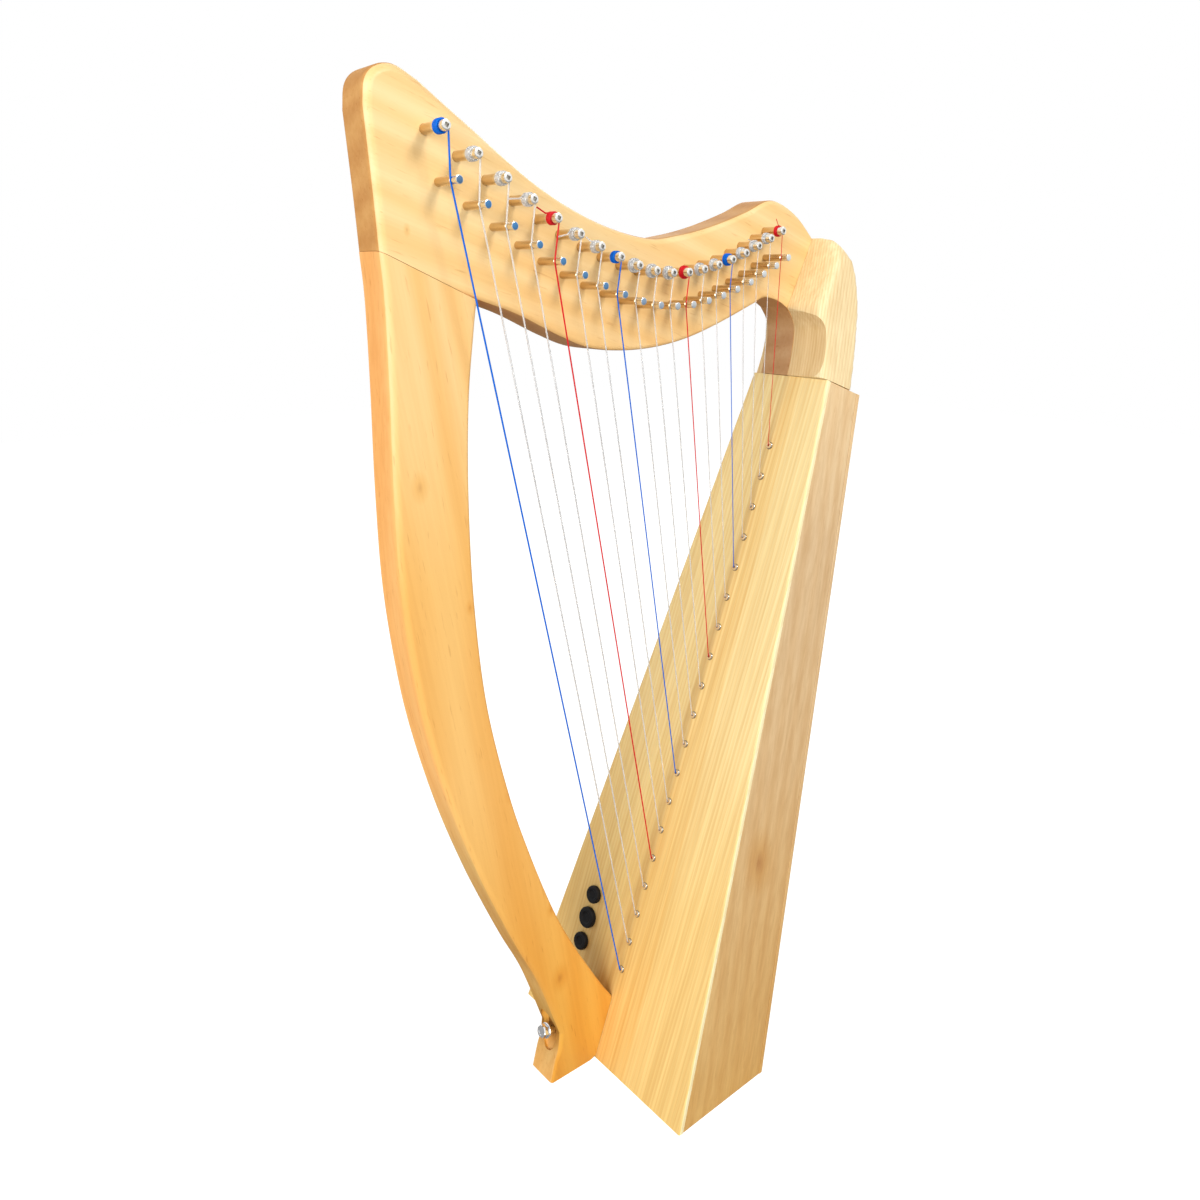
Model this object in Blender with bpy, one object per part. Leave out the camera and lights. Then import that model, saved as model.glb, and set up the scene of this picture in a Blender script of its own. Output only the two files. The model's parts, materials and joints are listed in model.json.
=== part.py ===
# A lap harp. A solid neck and pillar stand beside the middle plane of a tapered
# soundbox, and the strings run from eyelets in the soundboard, past the bridge pins,
# to the tuning pins.
# Metres, +Z up. The origin is the middle of the soundbox's base on the floor.
# +X points from the pillar to the soundbox, and -Y is the side with the strings.

import bpy
import bmesh
import numpy as np
from math import asin, atan2, cos, pi, radians, sin
from mathutils import Vector

for old in list(bpy.data.objects):
    bpy.data.objects.remove(old)

# Clearances
seat_gap = 0.0003          # between two pieces that touch
pin_gap = 0.0003           # round a piece that sits in a hole
turning_gap = 0.0004       # round a tuning pin, which turns in its hole
winding_gap = 0.0006       # between two turns of a winding

outline_unit = 0.001       # of the points and bows of the curved outlines

# Soundbox
board_tilt = radians(70.57)
board_length = 0.6116
base_depth = 0.102
top_depth = 0.0452
base_half_width = 0.1059
top_half_width = 0.0393
board_thickness = 0.004
back_thickness = 0.004
side_thickness = 0.006
board_edge_round = 0.002
base_block_height = 0.045
top_block_length = 0.030
rib_width = 0.020
rib_thickness = 0.005
back_hole_radius = 0.026
back_hole_places = (0.17, 0.31, 0.45)

# Neck and pillar
frame_near_y = 0.0018
frame_thickness = 0.028
edge_round = 0.003
seat_low = 0.008
seat_high = 0.059
leg_depth = 0.020
leg_proud = 0.001
leg_top = 0.0972
foot_waist = 0.0376
foot_flare = 0.0104
foot_waist_height = 0.046
foot_corner_round = 0.008

# Shoulder block
shoulder_depth = 0.033
shoulder_top_half_width = 0.028
shoulder_top_round = 0.015
shoulder_edge_round = 0.003

# Strings
string_count = 19
first_eyelet = 0.0853
last_eyelet_margin = 0.0583
bass_string = 0.0012
treble_string = 0.0005
knot_radius = 0.002
knot_height = 0.0026
eyelet_radius = 0.00315
eyelet_rim_radius = 0.0025
eyelet_height = 0.002
eyelet_barrel_radius = 0.0019
eyelet_bore_radius = 0.00125
eyelet_lip = 0.0004

# Bridge pins
bridge_pin_radius = 0.00255
bridge_pin_reach = 0.0244
bridge_pin_hold = 0.005
groove_place = 0.75
groove_radius = 0.0016
groove_half_width = 0.001
bridge_row_start = -0.3197
bridge_row_step = 0.01869
bridge_row_shrink = 0.00034

# Tuning pins
tuning_pin_radius = 0.00305
tuning_pin_length = 0.066
tuning_pin_chamfer = 0.0005
drive_length = 0.012
drive_half_width = 0.0021
bass_pin_reach = 0.025
treble_pin_reach = 0.0195
bass_pin_rise = 0.0274
middle_pin_rise = 0.0223
treble_pin_rise = 0.0188
bass_pin_lean = -0.0072
treble_pin_lean = -0.0018
lean_fade = 8              # how fast the lean falls off from the bass end
string_hole_radius = 0.0009
string_hole_setback = 0.003
winding_setback = 0.004
winding_points = 9
whole_turns = 2
string_lead = 0.0055
tail_bend = 30
eyelet_bend = 0.0013

# Foot bolt
bolt_side = 0.0158
bolt_place = 0.0272
bolt_stand = 0.0604
bolt_length = 0.085
bolt_radius = 0.003
bolt_head_apothem = 0.005
bolt_head_height = 0.0045
washer_radius = 0.0065
washer_thickness = 0.0014
insert_radius = 0.0045
insert_length = 0.022
recess_half_height = 0.0235
recess_half_width = 0.010
recess_depth = 0.0035
recess_bulge = 0.006

# Control knobs
knob_places = (0.0831, 0.1062, 0.1284)
knob_radii = (0.008, 0.0095, 0.008)
knob_side = 0.054
knob_height = 0.0048
knob_chamfer = 0.0006
knob_gap = 0.0005
spindle_radius = 0.003
spindle_length = 0.012
pot_radius = 0.008
pot_length = 0.011
control_plate_margin = 0.012
control_plate_thickness = 0.0016

# Facets
pin_sides = 8
round_sides = 16
curve_steps = 2

toe = Vector((-base_depth / 2, 0, 0))
up_board = Vector((cos(board_tilt), 0, sin(board_tilt)))
into_box = Vector((sin(board_tilt), 0, -cos(board_tilt)))
near_side = Vector((0, -1, 0))
frame_far_y = frame_near_y + frame_thickness


def on_board(place, depth=0.0, y=0.0):
    return toe + up_board * place + into_box * depth + Vector((0, y, 0))


shoulder = on_board(board_length)


def half_width(place):
    return base_half_width - (base_half_width - top_half_width) * place / board_length


# A depth line gives the depth below the soundboard's face as start + slope * place.
heel_place = base_depth * cos(board_tilt)
heel_depth = base_depth * sin(board_tilt)
back_slope = (top_depth - heel_depth) / (board_length - heel_place)
back_start = heel_depth - back_slope * heel_place


def place_at_height(line, height):
    start, slope = line
    rise = sin(board_tilt) - slope * cos(board_tilt)
    return (height + start * cos(board_tilt)) / rise


def finish(piece, color, roughness, metallic=0.0):
    material = bpy.data.materials.new(piece.name + "_finish")
    material.use_nodes = True
    shader = material.node_tree.nodes["Principled BSDF"]
    shader.inputs["Base Color"].default_value = (*color, 1.0)
    shader.inputs["Roughness"].default_value = roughness
    shader.inputs["Metallic"].default_value = metallic
    piece.data.materials.clear()
    piece.data.materials.append(material)


def finish_maple(piece):
    finish(piece, (0.72, 0.47, 0.20), 0.38)


def finish_pine(piece):
    finish(piece, (0.82, 0.62, 0.36), 0.45)


def finish_side(piece):
    finish(piece, (0.62, 0.42, 0.22), 0.45)


def finish_steel(piece):
    finish(piece, (0.72, 0.72, 0.72), 0.22, 1.0)


def finish_black(piece):
    finish(piece, (0.02, 0.02, 0.02), 0.35)


def add_object(name, data, place=(0, 0, 0)):
    piece = bpy.data.objects.new(name, data)
    piece.location = place
    bpy.context.scene.collection.objects.link(piece)
    return piece


def mesh_from(bm, name):
    bmesh.ops.recalc_face_normals(bm, faces=bm.faces[:])
    mesh = bpy.data.meshes.new(name)
    bm.to_mesh(mesh)
    bm.free()
    return mesh


def shade_round(mesh):
    mesh.shade_smooth()
    mesh.set_sharp_from_angle(angle=radians(40))


def smooth_line(points, steps=curve_steps):
    # A Catmull-Rom curve through the points, with the ends carried straight on.
    knots = [Vector(p) for p in points]
    knots.insert(0, 2 * knots[0] - knots[1])
    knots.append(2 * knots[-1] - knots[-2])
    line = []
    for a, b, c, d in zip(knots, knots[1:], knots[2:], knots[3:]):
        for step in range(steps):
            t = step / steps
            line.append(0.5 * (2 * b + (c - a) * t + (2 * a - 5 * b + 4 * c - d) * t * t
                               + (3 * b - a - 3 * c + d) * t * t * t))
    line.append(knots[-2])
    return line


def add_turned(bm, profile, sides, base, axis, closed=False):
    # A profile entry is (radius, distance along the axis), or (half width across
    # flats, distance, number of flats) for a section with flats.
    axis = axis.normalized()
    side = axis.orthogonal() if abs(axis.y) > 0.99 else axis.cross(Vector((0, 1, 0)))
    side.normalize()
    third = axis.cross(side)
    rings = []
    for radius, distance, *flats in profile:
        ring = []
        for index in range(sides):
            turn = 2 * pi * index / sides
            reach = radius
            if flats:
                sector = 2 * pi / flats[0]
                reach = radius / cos((turn + sector / 2) % sector - sector / 2)
            spot = base + axis * distance + side * (reach * cos(turn))
            ring.append(bm.verts.new(spot + third * (reach * sin(turn))))
        rings.append(ring)
    pairs = list(zip(rings, rings[1:]))
    if closed:
        pairs.append((rings[-1], rings[0]))
    for lower, upper in pairs:
        for index in range(sides):
            after = (index + 1) % sides
            bm.faces.new((lower[index], lower[after], upper[after], upper[index]))
    if not closed:
        bm.faces.new(list(reversed(rings[0])))
        bm.faces.new(rings[-1])


def add_prism(bm, outline, near_y, far_y):
    # The outline is a list of (x, z) points.
    near = [bm.verts.new((x, near_y, z)) for x, z in outline]
    far = [bm.verts.new((x, far_y, z)) for x, z in outline]
    bm.faces.new(near)
    bm.faces.new(list(reversed(far)))
    for index in range(len(outline)):
        after = (index + 1) % len(outline)
        bm.faces.new((near[index], far[index], far[after], near[after]))
    return near, far


def combine(piece, bm, name, operation):
    helper = add_object(name, mesh_from(bm, name))
    helper.hide_render = True
    helper.display_type = "WIRE"
    boolean = piece.modifiers.new(name, "BOOLEAN")
    boolean.object = helper
    boolean.operation = operation
    boolean.solver = "EXACT"


def cut(piece, bm, name):
    combine(piece, bm, name, "DIFFERENCE")


def join(piece, bm, name):
    combine(piece, bm, name, "UNION")


def bake(piece):
    # Keeps the shape that the modifiers give, so that copies can share it.
    graph = bpy.context.evaluated_depsgraph_get()
    mesh = bpy.data.meshes.new_from_object(piece.evaluated_get(graph))
    for modifier in list(piece.modifiers):
        bpy.data.objects.remove(modifier.object)
        piece.modifiers.remove(modifier)
    return mesh


def panel(name, front, back, low, high, near_y, far_y):
    # A piece of the box between two depth lines. low and high give the place of the
    # ends on a depth line, and near_y and far_y the side faces at a place.
    bm = bmesh.new()
    corners = []
    for line, end in ((front, low), (front, high), (back, high), (back, low)):
        place = end(line)
        corners.append((place, line[0] + line[1] * place))
    near = [bm.verts.new(on_board(place, depth, near_y(place))) for place, depth in corners]
    far = [bm.verts.new(on_board(place, depth, far_y(place))) for place, depth in corners]
    bm.faces.new(near)
    bm.faces.new(far)
    for index in range(4):
        after = (index + 1) % 4
        bm.faces.new((near[index], far[index], far[after], near[after]))
    return add_object(name, mesh_from(bm, name))


def at_floor(line):
    return place_at_height(line, 0.0)


def at_top(line):
    return board_length


face_line = (0.0, 0.0)
board_inner = (board_thickness, 0.0)
frame_front = (board_thickness + seat_gap, 0.0)
back_face = (back_start, back_slope)
back_inner = (back_start - back_thickness, back_slope)
frame_back = (back_start - back_thickness - seat_gap, back_slope)


def outer_side(place):
    return half_width(place)


def inner_side(place):
    return half_width(place) - side_thickness


def block_side(place):
    return inner_side(place) - seat_gap


def minus(side):
    return lambda place: -side(place)


# Soundbox panels
soundboard = panel("soundboard", face_line, board_inner, at_floor, at_top,
                   minus(outer_side), outer_side)
side_near = panel("side_near", frame_front, frame_back, at_floor, at_top,
                  minus(outer_side), minus(inner_side))
side_far = panel("side_far", frame_front, frame_back, at_floor, at_top,
                 inner_side, outer_side)
back_panel = panel("back_panel", back_inner, back_face, at_floor, at_top,
                   minus(outer_side), outer_side)
base_block = panel("base_block", frame_front, frame_back, at_floor,
                   lambda line: place_at_height(line, base_block_height),
                   minus(block_side), block_side)
top_block = panel("top_block", frame_front, frame_back,
                  lambda line: board_length - top_block_length, at_top,
                  minus(block_side), block_side)
rib_back = (frame_front[0] + rib_thickness, 0.0)
rib_low = place_at_height(rib_back, base_block_height) + seat_gap
rib_high = board_length - top_block_length - seat_gap
string_rib = panel("string_rib", frame_front, rib_back, lambda line: rib_low,
                   lambda line: rib_high, lambda place: -rib_width / 2,
                   lambda place: rib_width / 2)

for piece in (soundboard, top_block, base_block, string_rib):
    finish_pine(piece)
for piece in (side_near, side_far, back_panel):
    finish_side(piece)

long_edges = bmesh.new()
long_edges.from_mesh(soundboard.data)
front_edges = []
for edge in long_edges.edges:
    ends = [vert.co for vert in edge.verts]
    run = abs((ends[1] - ends[0]).dot(up_board))
    if run > board_length / 2 and max((e - toe).dot(into_box) for e in ends) < board_thickness / 2:
        front_edges.append(edge)
bmesh.ops.bevel(long_edges, geom=front_edges, offset=board_edge_round, segments=2,
                profile=0.5, affect="EDGES")
long_edges.to_mesh(soundboard.data)
long_edges.free()

# Places of the strings


def share(index):
    return index / (string_count - 1)


eyelet_run = board_length - last_eyelet_margin - first_eyelet
eyelet_places = [first_eyelet + eyelet_run * share(index) for index in range(string_count)]


def string_diameter(index):
    return bass_string + (treble_string - bass_string) * share(index)


# The bridge row's rise above the shoulder, at distances from it along X.
bridge_curve = smooth_line([(-319.7, 130.9), (-282.4, 107.1), (-230.4, 79.6),
                            (-179.7, 62.4), (-146.6, 58.6), (-119.0, 61.5),
                            (-88.4, 69.3), (-62.2, 79.2), (-35.6, 91.1)], 6)


def bridge_pin_at(index):
    x = bridge_row_start + bridge_row_step * index
    x -= bridge_row_shrink * index * (index - 1) / 2
    rise = np.interp(x / outline_unit, [p[0] for p in bridge_curve], [p[1] for p in bridge_curve])
    return shoulder + Vector((x, 0, float(rise) * outline_unit))


def tuning_pin_at(index):
    rise = np.interp(share(index), (0, 0.5, 1), (bass_pin_rise, middle_pin_rise, treble_pin_rise))
    lean = treble_pin_lean + (bass_pin_lean - treble_pin_lean) * (1 - share(index)) ** lean_fade
    return bridge_pin_at(index) + Vector((lean, 0, float(rise)))


def tuning_tip_y(index):
    reach = bass_pin_reach + (treble_pin_reach - bass_pin_reach) * share(index)
    return frame_near_y - reach


# Holes through the soundboard and its rib
board_holes = bmesh.new()
rib_holes = bmesh.new()
for place in eyelet_places:
    start = on_board(place, -board_thickness)
    reach = 2 * (board_thickness + rib_thickness)
    barrel_hole = [(eyelet_barrel_radius + pin_gap, 0), (eyelet_barrel_radius + pin_gap, reach)]
    add_turned(board_holes, barrel_hole, pin_sides, start, into_box)
    bore = [(eyelet_bore_radius, 0), (eyelet_bore_radius, reach)]
    add_turned(rib_holes, bore, pin_sides, start, into_box)
for place in knob_places:
    start = on_board(place, -board_thickness, knob_side)
    hole = [(spindle_radius + pin_gap, 0), (spindle_radius + pin_gap, 3 * board_thickness)]
    add_turned(board_holes, hole, round_sides, start, into_box)
bolt_start = on_board(bolt_place, -bolt_stand, bolt_side)
bolt_hole = [(bolt_radius + pin_gap, 0), (bolt_radius + pin_gap, 2 * bolt_length)]
board_bolt_hole = [(bolt_radius + pin_gap, bolt_stand - board_thickness),
                   (bolt_radius + pin_gap, bolt_stand + 2 * board_thickness)]
add_turned(board_holes, board_bolt_hole, pin_sides, bolt_start, into_box)
cut(soundboard, board_holes, "soundboard_holes")
cut(string_rib, rib_holes, "rib_holes")

insert_pocket = bmesh.new()
insert_end = board_thickness + insert_length
add_turned(insert_pocket, [(insert_radius + pin_gap, bolt_stand - board_thickness),
                           (insert_radius + pin_gap, bolt_stand + insert_end + pin_gap),
                           (bolt_radius + pin_gap, bolt_stand + insert_end + pin_gap),
                           (bolt_radius + pin_gap, bolt_length + 2 * pin_gap)],
           pin_sides, bolt_start, into_box)
cut(base_block, insert_pocket, "insert_pocket")

# Hand holes in the back
back_axis = Vector((cos(board_tilt) + back_slope * sin(board_tilt), 0,
                    sin(board_tilt) - back_slope * cos(board_tilt))).normalized()
back_normal = Vector((back_axis.z, 0, -back_axis.x))
hand_holes = bmesh.new()
for place in back_hole_places:
    middle = on_board(place, back_start + back_slope * place)
    add_turned(hand_holes, [(back_hole_radius, -3 * back_thickness),
                            (back_hole_radius, 2 * back_thickness)],
               round_sides, middle, back_normal)
cut(back_panel, hand_holes, "hand_holes")


def near_shoulder(points):
    return [(shoulder.x + x * outline_unit, shoulder.z + z * outline_unit) for x, z in points]


# Neck outline, as distances from the soundboard's top edge
neck_front = near_shoulder([(-359.6, 92.9), (-361.1, 126.2), (-363.6, 168.2)])
neck_head = near_shoulder([(-363.6, 168.2), (-361.9, 180.2), (-356.9, 187.1),
                           (-348.3, 190.6), (-339.8, 189.9), (-327.8, 184.3)])
neck_top = near_shoulder([(-327.8, 184.3), (-298.9, 165.6), (-246.4, 132.8),
                          (-199.7, 113.0), (-155.3, 103.5), (-124.1, 106.1),
                          (-91.3, 112.9), (-57.1, 123.2), (-33.6, 132.0),
                          (-16.4, 130.2), (3.3, 120.8), (20.5, 107.1)])
beak = near_shoulder([(-5.8, 53.5)])[0]
apex = neck_top[-1]
neck_leg = near_shoulder([(2.2, 14.2), (4.2, 33.0), (2.1, 43.2)])
neck_arch = [beak] + near_shoulder([(-14.6, 58.2), (-24.3, 61.0), (-33.6, 61.6),
                                    (-41.4, 58.3)])
neck_under = near_shoulder([(-41.4, 58.3), (-79.2, 44.6), (-113.3, 34.6),
                            (-146.1, 29.4), (-177.2, 28.6), (-206.8, 31.8),
                            (-232.2, 40.7), (-265.6, 55.3), (-295.2, 64.8)])
seam_front = neck_front[0]
seam_rear = neck_under[-1]
leg_front = on_board(board_length + seat_gap, -leg_proud)
leg_back = on_board(board_length + seat_gap, leg_depth)


def front_plane_x(z):
    # The shoulder block's leaning front face, from its beak to its apex.
    return beak[0] + (apex[0] - beak[0]) * (z - beak[1]) / (apex[1] - beak[1])


def arris_prism(name, runs):
    # Each run is a list of points and whether its edges are rounded over.
    outline = []
    rounded = []
    for points, is_round in runs:
        spots = smooth_line(points) if len(points) > 2 else [Vector(p) for p in points]
        if outline and (outline[-1] - spots[0]).length < seat_gap / 10:
            spots = spots[1:]
            rounded[-1] = is_round
        outline.extend(spots)
        rounded.extend([is_round] * len(spots))
        rounded[-1] = False
    if (outline[-1] - outline[0]).length < seat_gap / 10:
        outline.pop()
        rounded.pop()
    bm = bmesh.new()
    near, far = add_prism(bm, outline, frame_near_y, frame_far_y)
    edges = []
    for index, is_round in enumerate(rounded):
        after = (index + 1) % len(outline)
        if is_round:
            edges.append(bm.edges.get((near[index], near[after])))
            edges.append(bm.edges.get((far[index], far[after])))
    bmesh.ops.bevel(bm, geom=edges, offset=edge_round, segments=2, profile=0.5,
                    affect="EDGES", clamp_overlap=True)
    return add_object(name, mesh_from(bm, name))


leg_join_z = shoulder.z + leg_top
leg_join = (front_plane_x(leg_join_z) - seat_gap, leg_join_z)
apex_inset = (apex[0] - seat_gap, apex[1])
neck = arris_prism("neck", [
    (neck_front, True), (neck_head, True), (neck_top[:-1] + [apex_inset], True),
    ([apex_inset, leg_join], False), ([leg_join, (leg_back.x, leg_back.z)], False),
    ([(leg_back.x, leg_back.z), (leg_front.x, leg_front.z)], False),
    ([(leg_front.x, leg_front.z)] + neck_leg + [beak], False),
    (neck_arch, True), (neck_under, True), ([seam_rear, seam_front], False)])
finish_maple(neck)

neck_holes = bmesh.new()
for index in range(string_count):
    start = tuning_pin_at(index) + Vector((0, frame_near_y - edge_round, 0))
    hole = [(tuning_pin_radius + turning_gap, 0),
            (tuning_pin_radius + turning_gap, frame_thickness + 2 * edge_round)]
    add_turned(neck_holes, hole, pin_sides, start, -near_side)
cut(neck, neck_holes, "neck_holes")


def bowed(start, end, bows):
    # Points between start and end, each a share of the way, and set off to -X.
    run = Vector((end[0] - start[0], end[1] - start[1]))
    across = Vector((-run.y, run.x)).normalized()
    line = [Vector(start)]
    for part, bow in bows:
        line.append(Vector(start) + run * part + across * bow * outline_unit)
    line.append(Vector(end))
    return line


# Pillar outline, from the seam down the outer edge, round the foot and up again
seam_run = Vector((seam_rear[0] - seam_front[0], seam_rear[1] - seam_front[1])).normalized()
seam_drop = Vector((seam_run.y, -seam_run.x)) * seat_gap
pillar_front_top = Vector(seam_front) + seam_drop
pillar_rear_top = Vector(seam_rear) + seam_drop
waist = (toe.x - foot_waist, foot_waist_height)
outer_edge = bowed(waist, pillar_front_top,
                   [(0.10, 8.2), (0.17, 18.6), (0.24, 27.8), (0.31, 35.7),
                    (0.40, 43.0), (0.50, 46.7), (0.58, 45.7), (0.68, 39.5),
                    (0.78, 27.7), (0.88, 13.7), (0.957, 3.8)])
outer_edge.reverse()
ankle = (waist[0] - foot_flare / 6, foot_waist_height * 2 / 3)
instep = (waist[0] - foot_flare / 2, foot_waist_height * 4 / 9)
foot_edge = [waist, ankle, instep, (waist[0] - foot_flare, 0)]
seat_start = on_board(seat_low, -seat_gap)
seat_end = on_board(seat_high, -seat_gap)
foot_rear = (seat_start.x - foot_corner_round, 0.0)
foot_bow = 0.3             # how near the square corner its round comes
foot_corner = [foot_rear, (seat_start.x - foot_bow * foot_corner_round, foot_bow * seat_start.z),
               (seat_start.x, seat_start.z)]
inner_edge = bowed((seat_end.x, seat_end.z), pillar_rear_top,
                   [(0.04, 9.1), (0.13, 26.3), (0.21, 38.0), (0.32, 48.0),
                    (0.42, 53.8), (0.55, 55.2), (0.68, 47.4), (0.80, 34.6),
                    (0.90, 20.2), (0.97, 6.4)])
pillar = arris_prism("pillar", [
    (outer_edge, True), (foot_edge, True), ([foot_edge[-1], foot_rear], False),
    (foot_corner, False), ([foot_corner[-1], (seat_end.x, seat_end.z)], False),
    (inner_edge, True), ([pillar_rear_top, pillar_front_top], False)])
finish_maple(pillar)

bolt_ring = bmesh.new()
add_turned(bolt_ring, bolt_hole, pin_sides, bolt_start, into_box)
recess_place = Vector((waist[0] - recess_bulge + recess_depth, bolt_side, foot_waist_height))
scoop = bmesh.new()
recess = bmesh.ops.create_uvsphere(scoop, u_segments=12, v_segments=8, radius=1.0)
for vert in recess["verts"]:
    vert.co.x = vert.co.x * recess_bulge + recess_place.x
    vert.co.y = vert.co.y * recess_half_width + recess_place.y
    vert.co.z = vert.co.z * recess_half_height + recess_place.z
cut(pillar, scoop, "foot_scoop")
cut(pillar, bolt_ring, "foot_bolt_hole")

# Shoulder block, lofted from the soundbox's top to its apex
block_rows = [((2.2, 14.2), (34.6, 13.2)), ((4.2, 33.0), (37.6, 34.2)),
              ((2.1, 43.2), (39.1, 45.2)), ((-5.8, 53.5), (39.6, 55.2)),
              (74.7, (37.6, 75.2)), (89.2, (32.6, 89.2)),
              (99.2, (26.6, 99.2)), (103.2, (23.6, 103.2)),
              (106.2, (21.2, 106.6))]


def shoulder_half_width(z):
    taper = max(0, z - shoulder.z) / (apex[1] - shoulder.z)
    width = top_half_width + (shoulder_top_half_width - top_half_width) * taper
    over = z - (apex[1] - shoulder_top_round)
    if over > 0:
        over = min(over, shoulder_top_round)
        width -= shoulder_top_round - (shoulder_top_round ** 2 - over ** 2) ** 0.5
    return width


block_mesh = bmesh.new()
rings = []
base_front = on_board(board_length + seat_gap, -leg_proud)
base_back = on_board(board_length + seat_gap, shoulder_depth)
rows = [((base_front.x, base_front.z), (base_back.x, base_back.z))]
for front, back in block_rows:
    back = near_shoulder([back])[0]
    if isinstance(front, float):
        front_z = shoulder.z + front * outline_unit
        front = (front_plane_x(front_z), front_z)
    else:
        front = near_shoulder([front])[0]
    rows.append((front, back))
for front, back in rows:
    front_width = shoulder_half_width(front[1])
    back_width = shoulder_half_width(back[1])
    rings.append([block_mesh.verts.new((front[0], -front_width, front[1])),
                  block_mesh.verts.new((back[0], -back_width, back[1])),
                  block_mesh.verts.new((back[0], back_width, back[1])),
                  block_mesh.verts.new((front[0], front_width, front[1]))])
for lower, upper in zip(rings, rings[1:]):
    for index in range(4):
        after = (index + 1) % 4
        block_mesh.faces.new((lower[index], lower[after], upper[after], upper[index]))
block_mesh.faces.new(rings[0])
block_mesh.faces.new(rings[-1])
upright = []
for lower, upper in zip(rings[:-3], rings[1:-2]):
    for index in range(4):
        upright.append(block_mesh.edges.get((lower[index], upper[index])))
bmesh.ops.bevel(block_mesh, geom=upright, offset=shoulder_edge_round, segments=2,
                profile=0.5, affect="EDGES", clamp_overlap=True)
shoulder_block = add_object("shoulder_block", mesh_from(block_mesh, "shoulder_block"))
finish_pine(shoulder_block)

leg_slot = bmesh.new()
slot_reach = 0.06
slot_lean = (leg_join[0] - leg_back.x) / (leg_join[1] - leg_back.z)
slot_bottom = leg_back.z - slot_reach
slot_top = apex[1] + slot_reach
slot_outline = [(leg_back.x + seat_gap + slot_lean * (slot_bottom - leg_back.z), slot_bottom),
                (leg_back.x + seat_gap + slot_lean * (slot_top - leg_back.z), slot_top),
                (beak[0] - slot_reach, slot_top), (beak[0] - slot_reach, slot_bottom)]
add_prism(leg_slot, slot_outline, frame_near_y - seat_gap, frame_far_y + seat_gap)
cut(shoulder_block, leg_slot, "leg_slot")

# Eyelets, pressed into the rib through the soundboard
eyelet_mesh = bmesh.new()
barrel_end = board_thickness + seat_gap + rib_thickness + eyelet_lip
for place in eyelet_places:
    add_turned(eyelet_mesh, [(eyelet_bore_radius, -eyelet_height),
                             (eyelet_rim_radius, -eyelet_height),
                             (eyelet_radius, -seat_gap),
                             (eyelet_barrel_radius, -seat_gap),
                             (eyelet_barrel_radius, barrel_end),
                             (eyelet_bore_radius, barrel_end)],
               pin_sides, on_board(place), into_box, closed=True)
join(string_rib, eyelet_mesh, "eyelets")

# Bridge pins, driven into the neck
groove_y = frame_near_y - bridge_pin_reach * groove_place
bridge_mesh = bmesh.new()
groove_from_tip = bridge_pin_reach * (1 - groove_place)
for index in range(string_count):
    tip = bridge_pin_at(index) + Vector((0, frame_near_y - bridge_pin_reach, 0))
    add_turned(bridge_mesh, [(bridge_pin_radius, 0),
                             (bridge_pin_radius, groove_from_tip - groove_half_width),
                             (groove_radius, groove_from_tip),
                             (bridge_pin_radius, groove_from_tip + groove_half_width),
                             (bridge_pin_radius, bridge_pin_reach + bridge_pin_hold)],
               pin_sides, tip, -near_side)
join(neck, bridge_mesh, "bridge_pins")

# Tuning pins, which all share one drilled mesh with its tip at the origin
pin_mesh = bmesh.new()
drive_start = tuning_pin_length - drive_length
add_turned(pin_mesh, [(tuning_pin_radius - tuning_pin_chamfer, 0),
                      (tuning_pin_radius, tuning_pin_chamfer),
                      (tuning_pin_radius, drive_start),
                      (drive_half_width, drive_start, 4),
                      (drive_half_width, tuning_pin_length, 4)],
           pin_sides, Vector((0, 0, 0)), -near_side)
pattern = add_object("pin_pattern", mesh_from(pin_mesh, "tuning_pin"))
cross_hole = bmesh.new()
add_turned(cross_hole, [(string_hole_radius, -2 * tuning_pin_radius),
                        (string_hole_radius, 2 * tuning_pin_radius)],
           6, Vector((0, string_hole_setback, 0)), Vector((0, 0, 1)))
cut(pattern, cross_hole, "string_hole")
drilled = bake(pattern)
bpy.data.objects.remove(pattern)
shade_round(drilled)

tuning_pins = []
for index in range(string_count):
    place = tuning_pin_at(index) + Vector((0, tuning_tip_y(index), 0))
    pin = add_object("tuning_pin_%02d" % (index + 1), drilled.copy(), place)
    finish_steel(pin)
    tuning_pins.append(pin)

# String tails: angle seen from the strings' side, and free length past the winding
long_tails = {4: (180, 0.008), 5: (150, 0.007), 6: (188, 0.007), 7: (140, 0.004),
              17: (150, 0.0045), 19: (115, 0.0065)}
plain_tail = (130, 0.0015)


def winding_radius(index):
    return tuning_pin_radius + pin_gap + string_diameter(index) / 2


def last_turn_y(index):
    return tuning_tip_y(index) + winding_setback + string_diameter(index) / 2


def least_gap(points, diameter):
    # Samples the line every fifth of a diameter, and skips what is within a
    # quarter of a turn of a sample.
    dense = []
    along_line = []
    done = 0.0
    for a, b in zip(points, points[1:]):
        run = (b - a).length
        count = max(1, int(run / (diameter / 5)))
        for step in range(count):
            dense.append(a + (b - a) * (step / count))
            along_line.append(done + run * step / count)
        done += run
    spots = np.array(dense)
    runs = np.array(along_line)
    gaps = np.linalg.norm(spots[:, None] - spots[None, :], axis=2) - diameter
    gaps[np.abs(runs[:, None] - runs[None, :]) < 2 * pi * tuning_pin_radius / 4] = 1.0
    return float(gaps.min())


def touch_left(point, centre, radius):
    # Heading of a line from a point that passes on the left of a circle.
    run = Vector((centre.x - point.x, centre.z - point.z))
    return atan2(run.y, run.x) + asin(radius / run.length)


def cross_heading(left_of, left_radius, right_of, right_radius):
    # Heading of a line on the left of one circle and on the right of the next.
    run = Vector((right_of.x - left_of.x, right_of.z - left_of.z))
    return atan2(run.y, run.x) - asin((left_radius + right_radius) / run.length)


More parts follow.
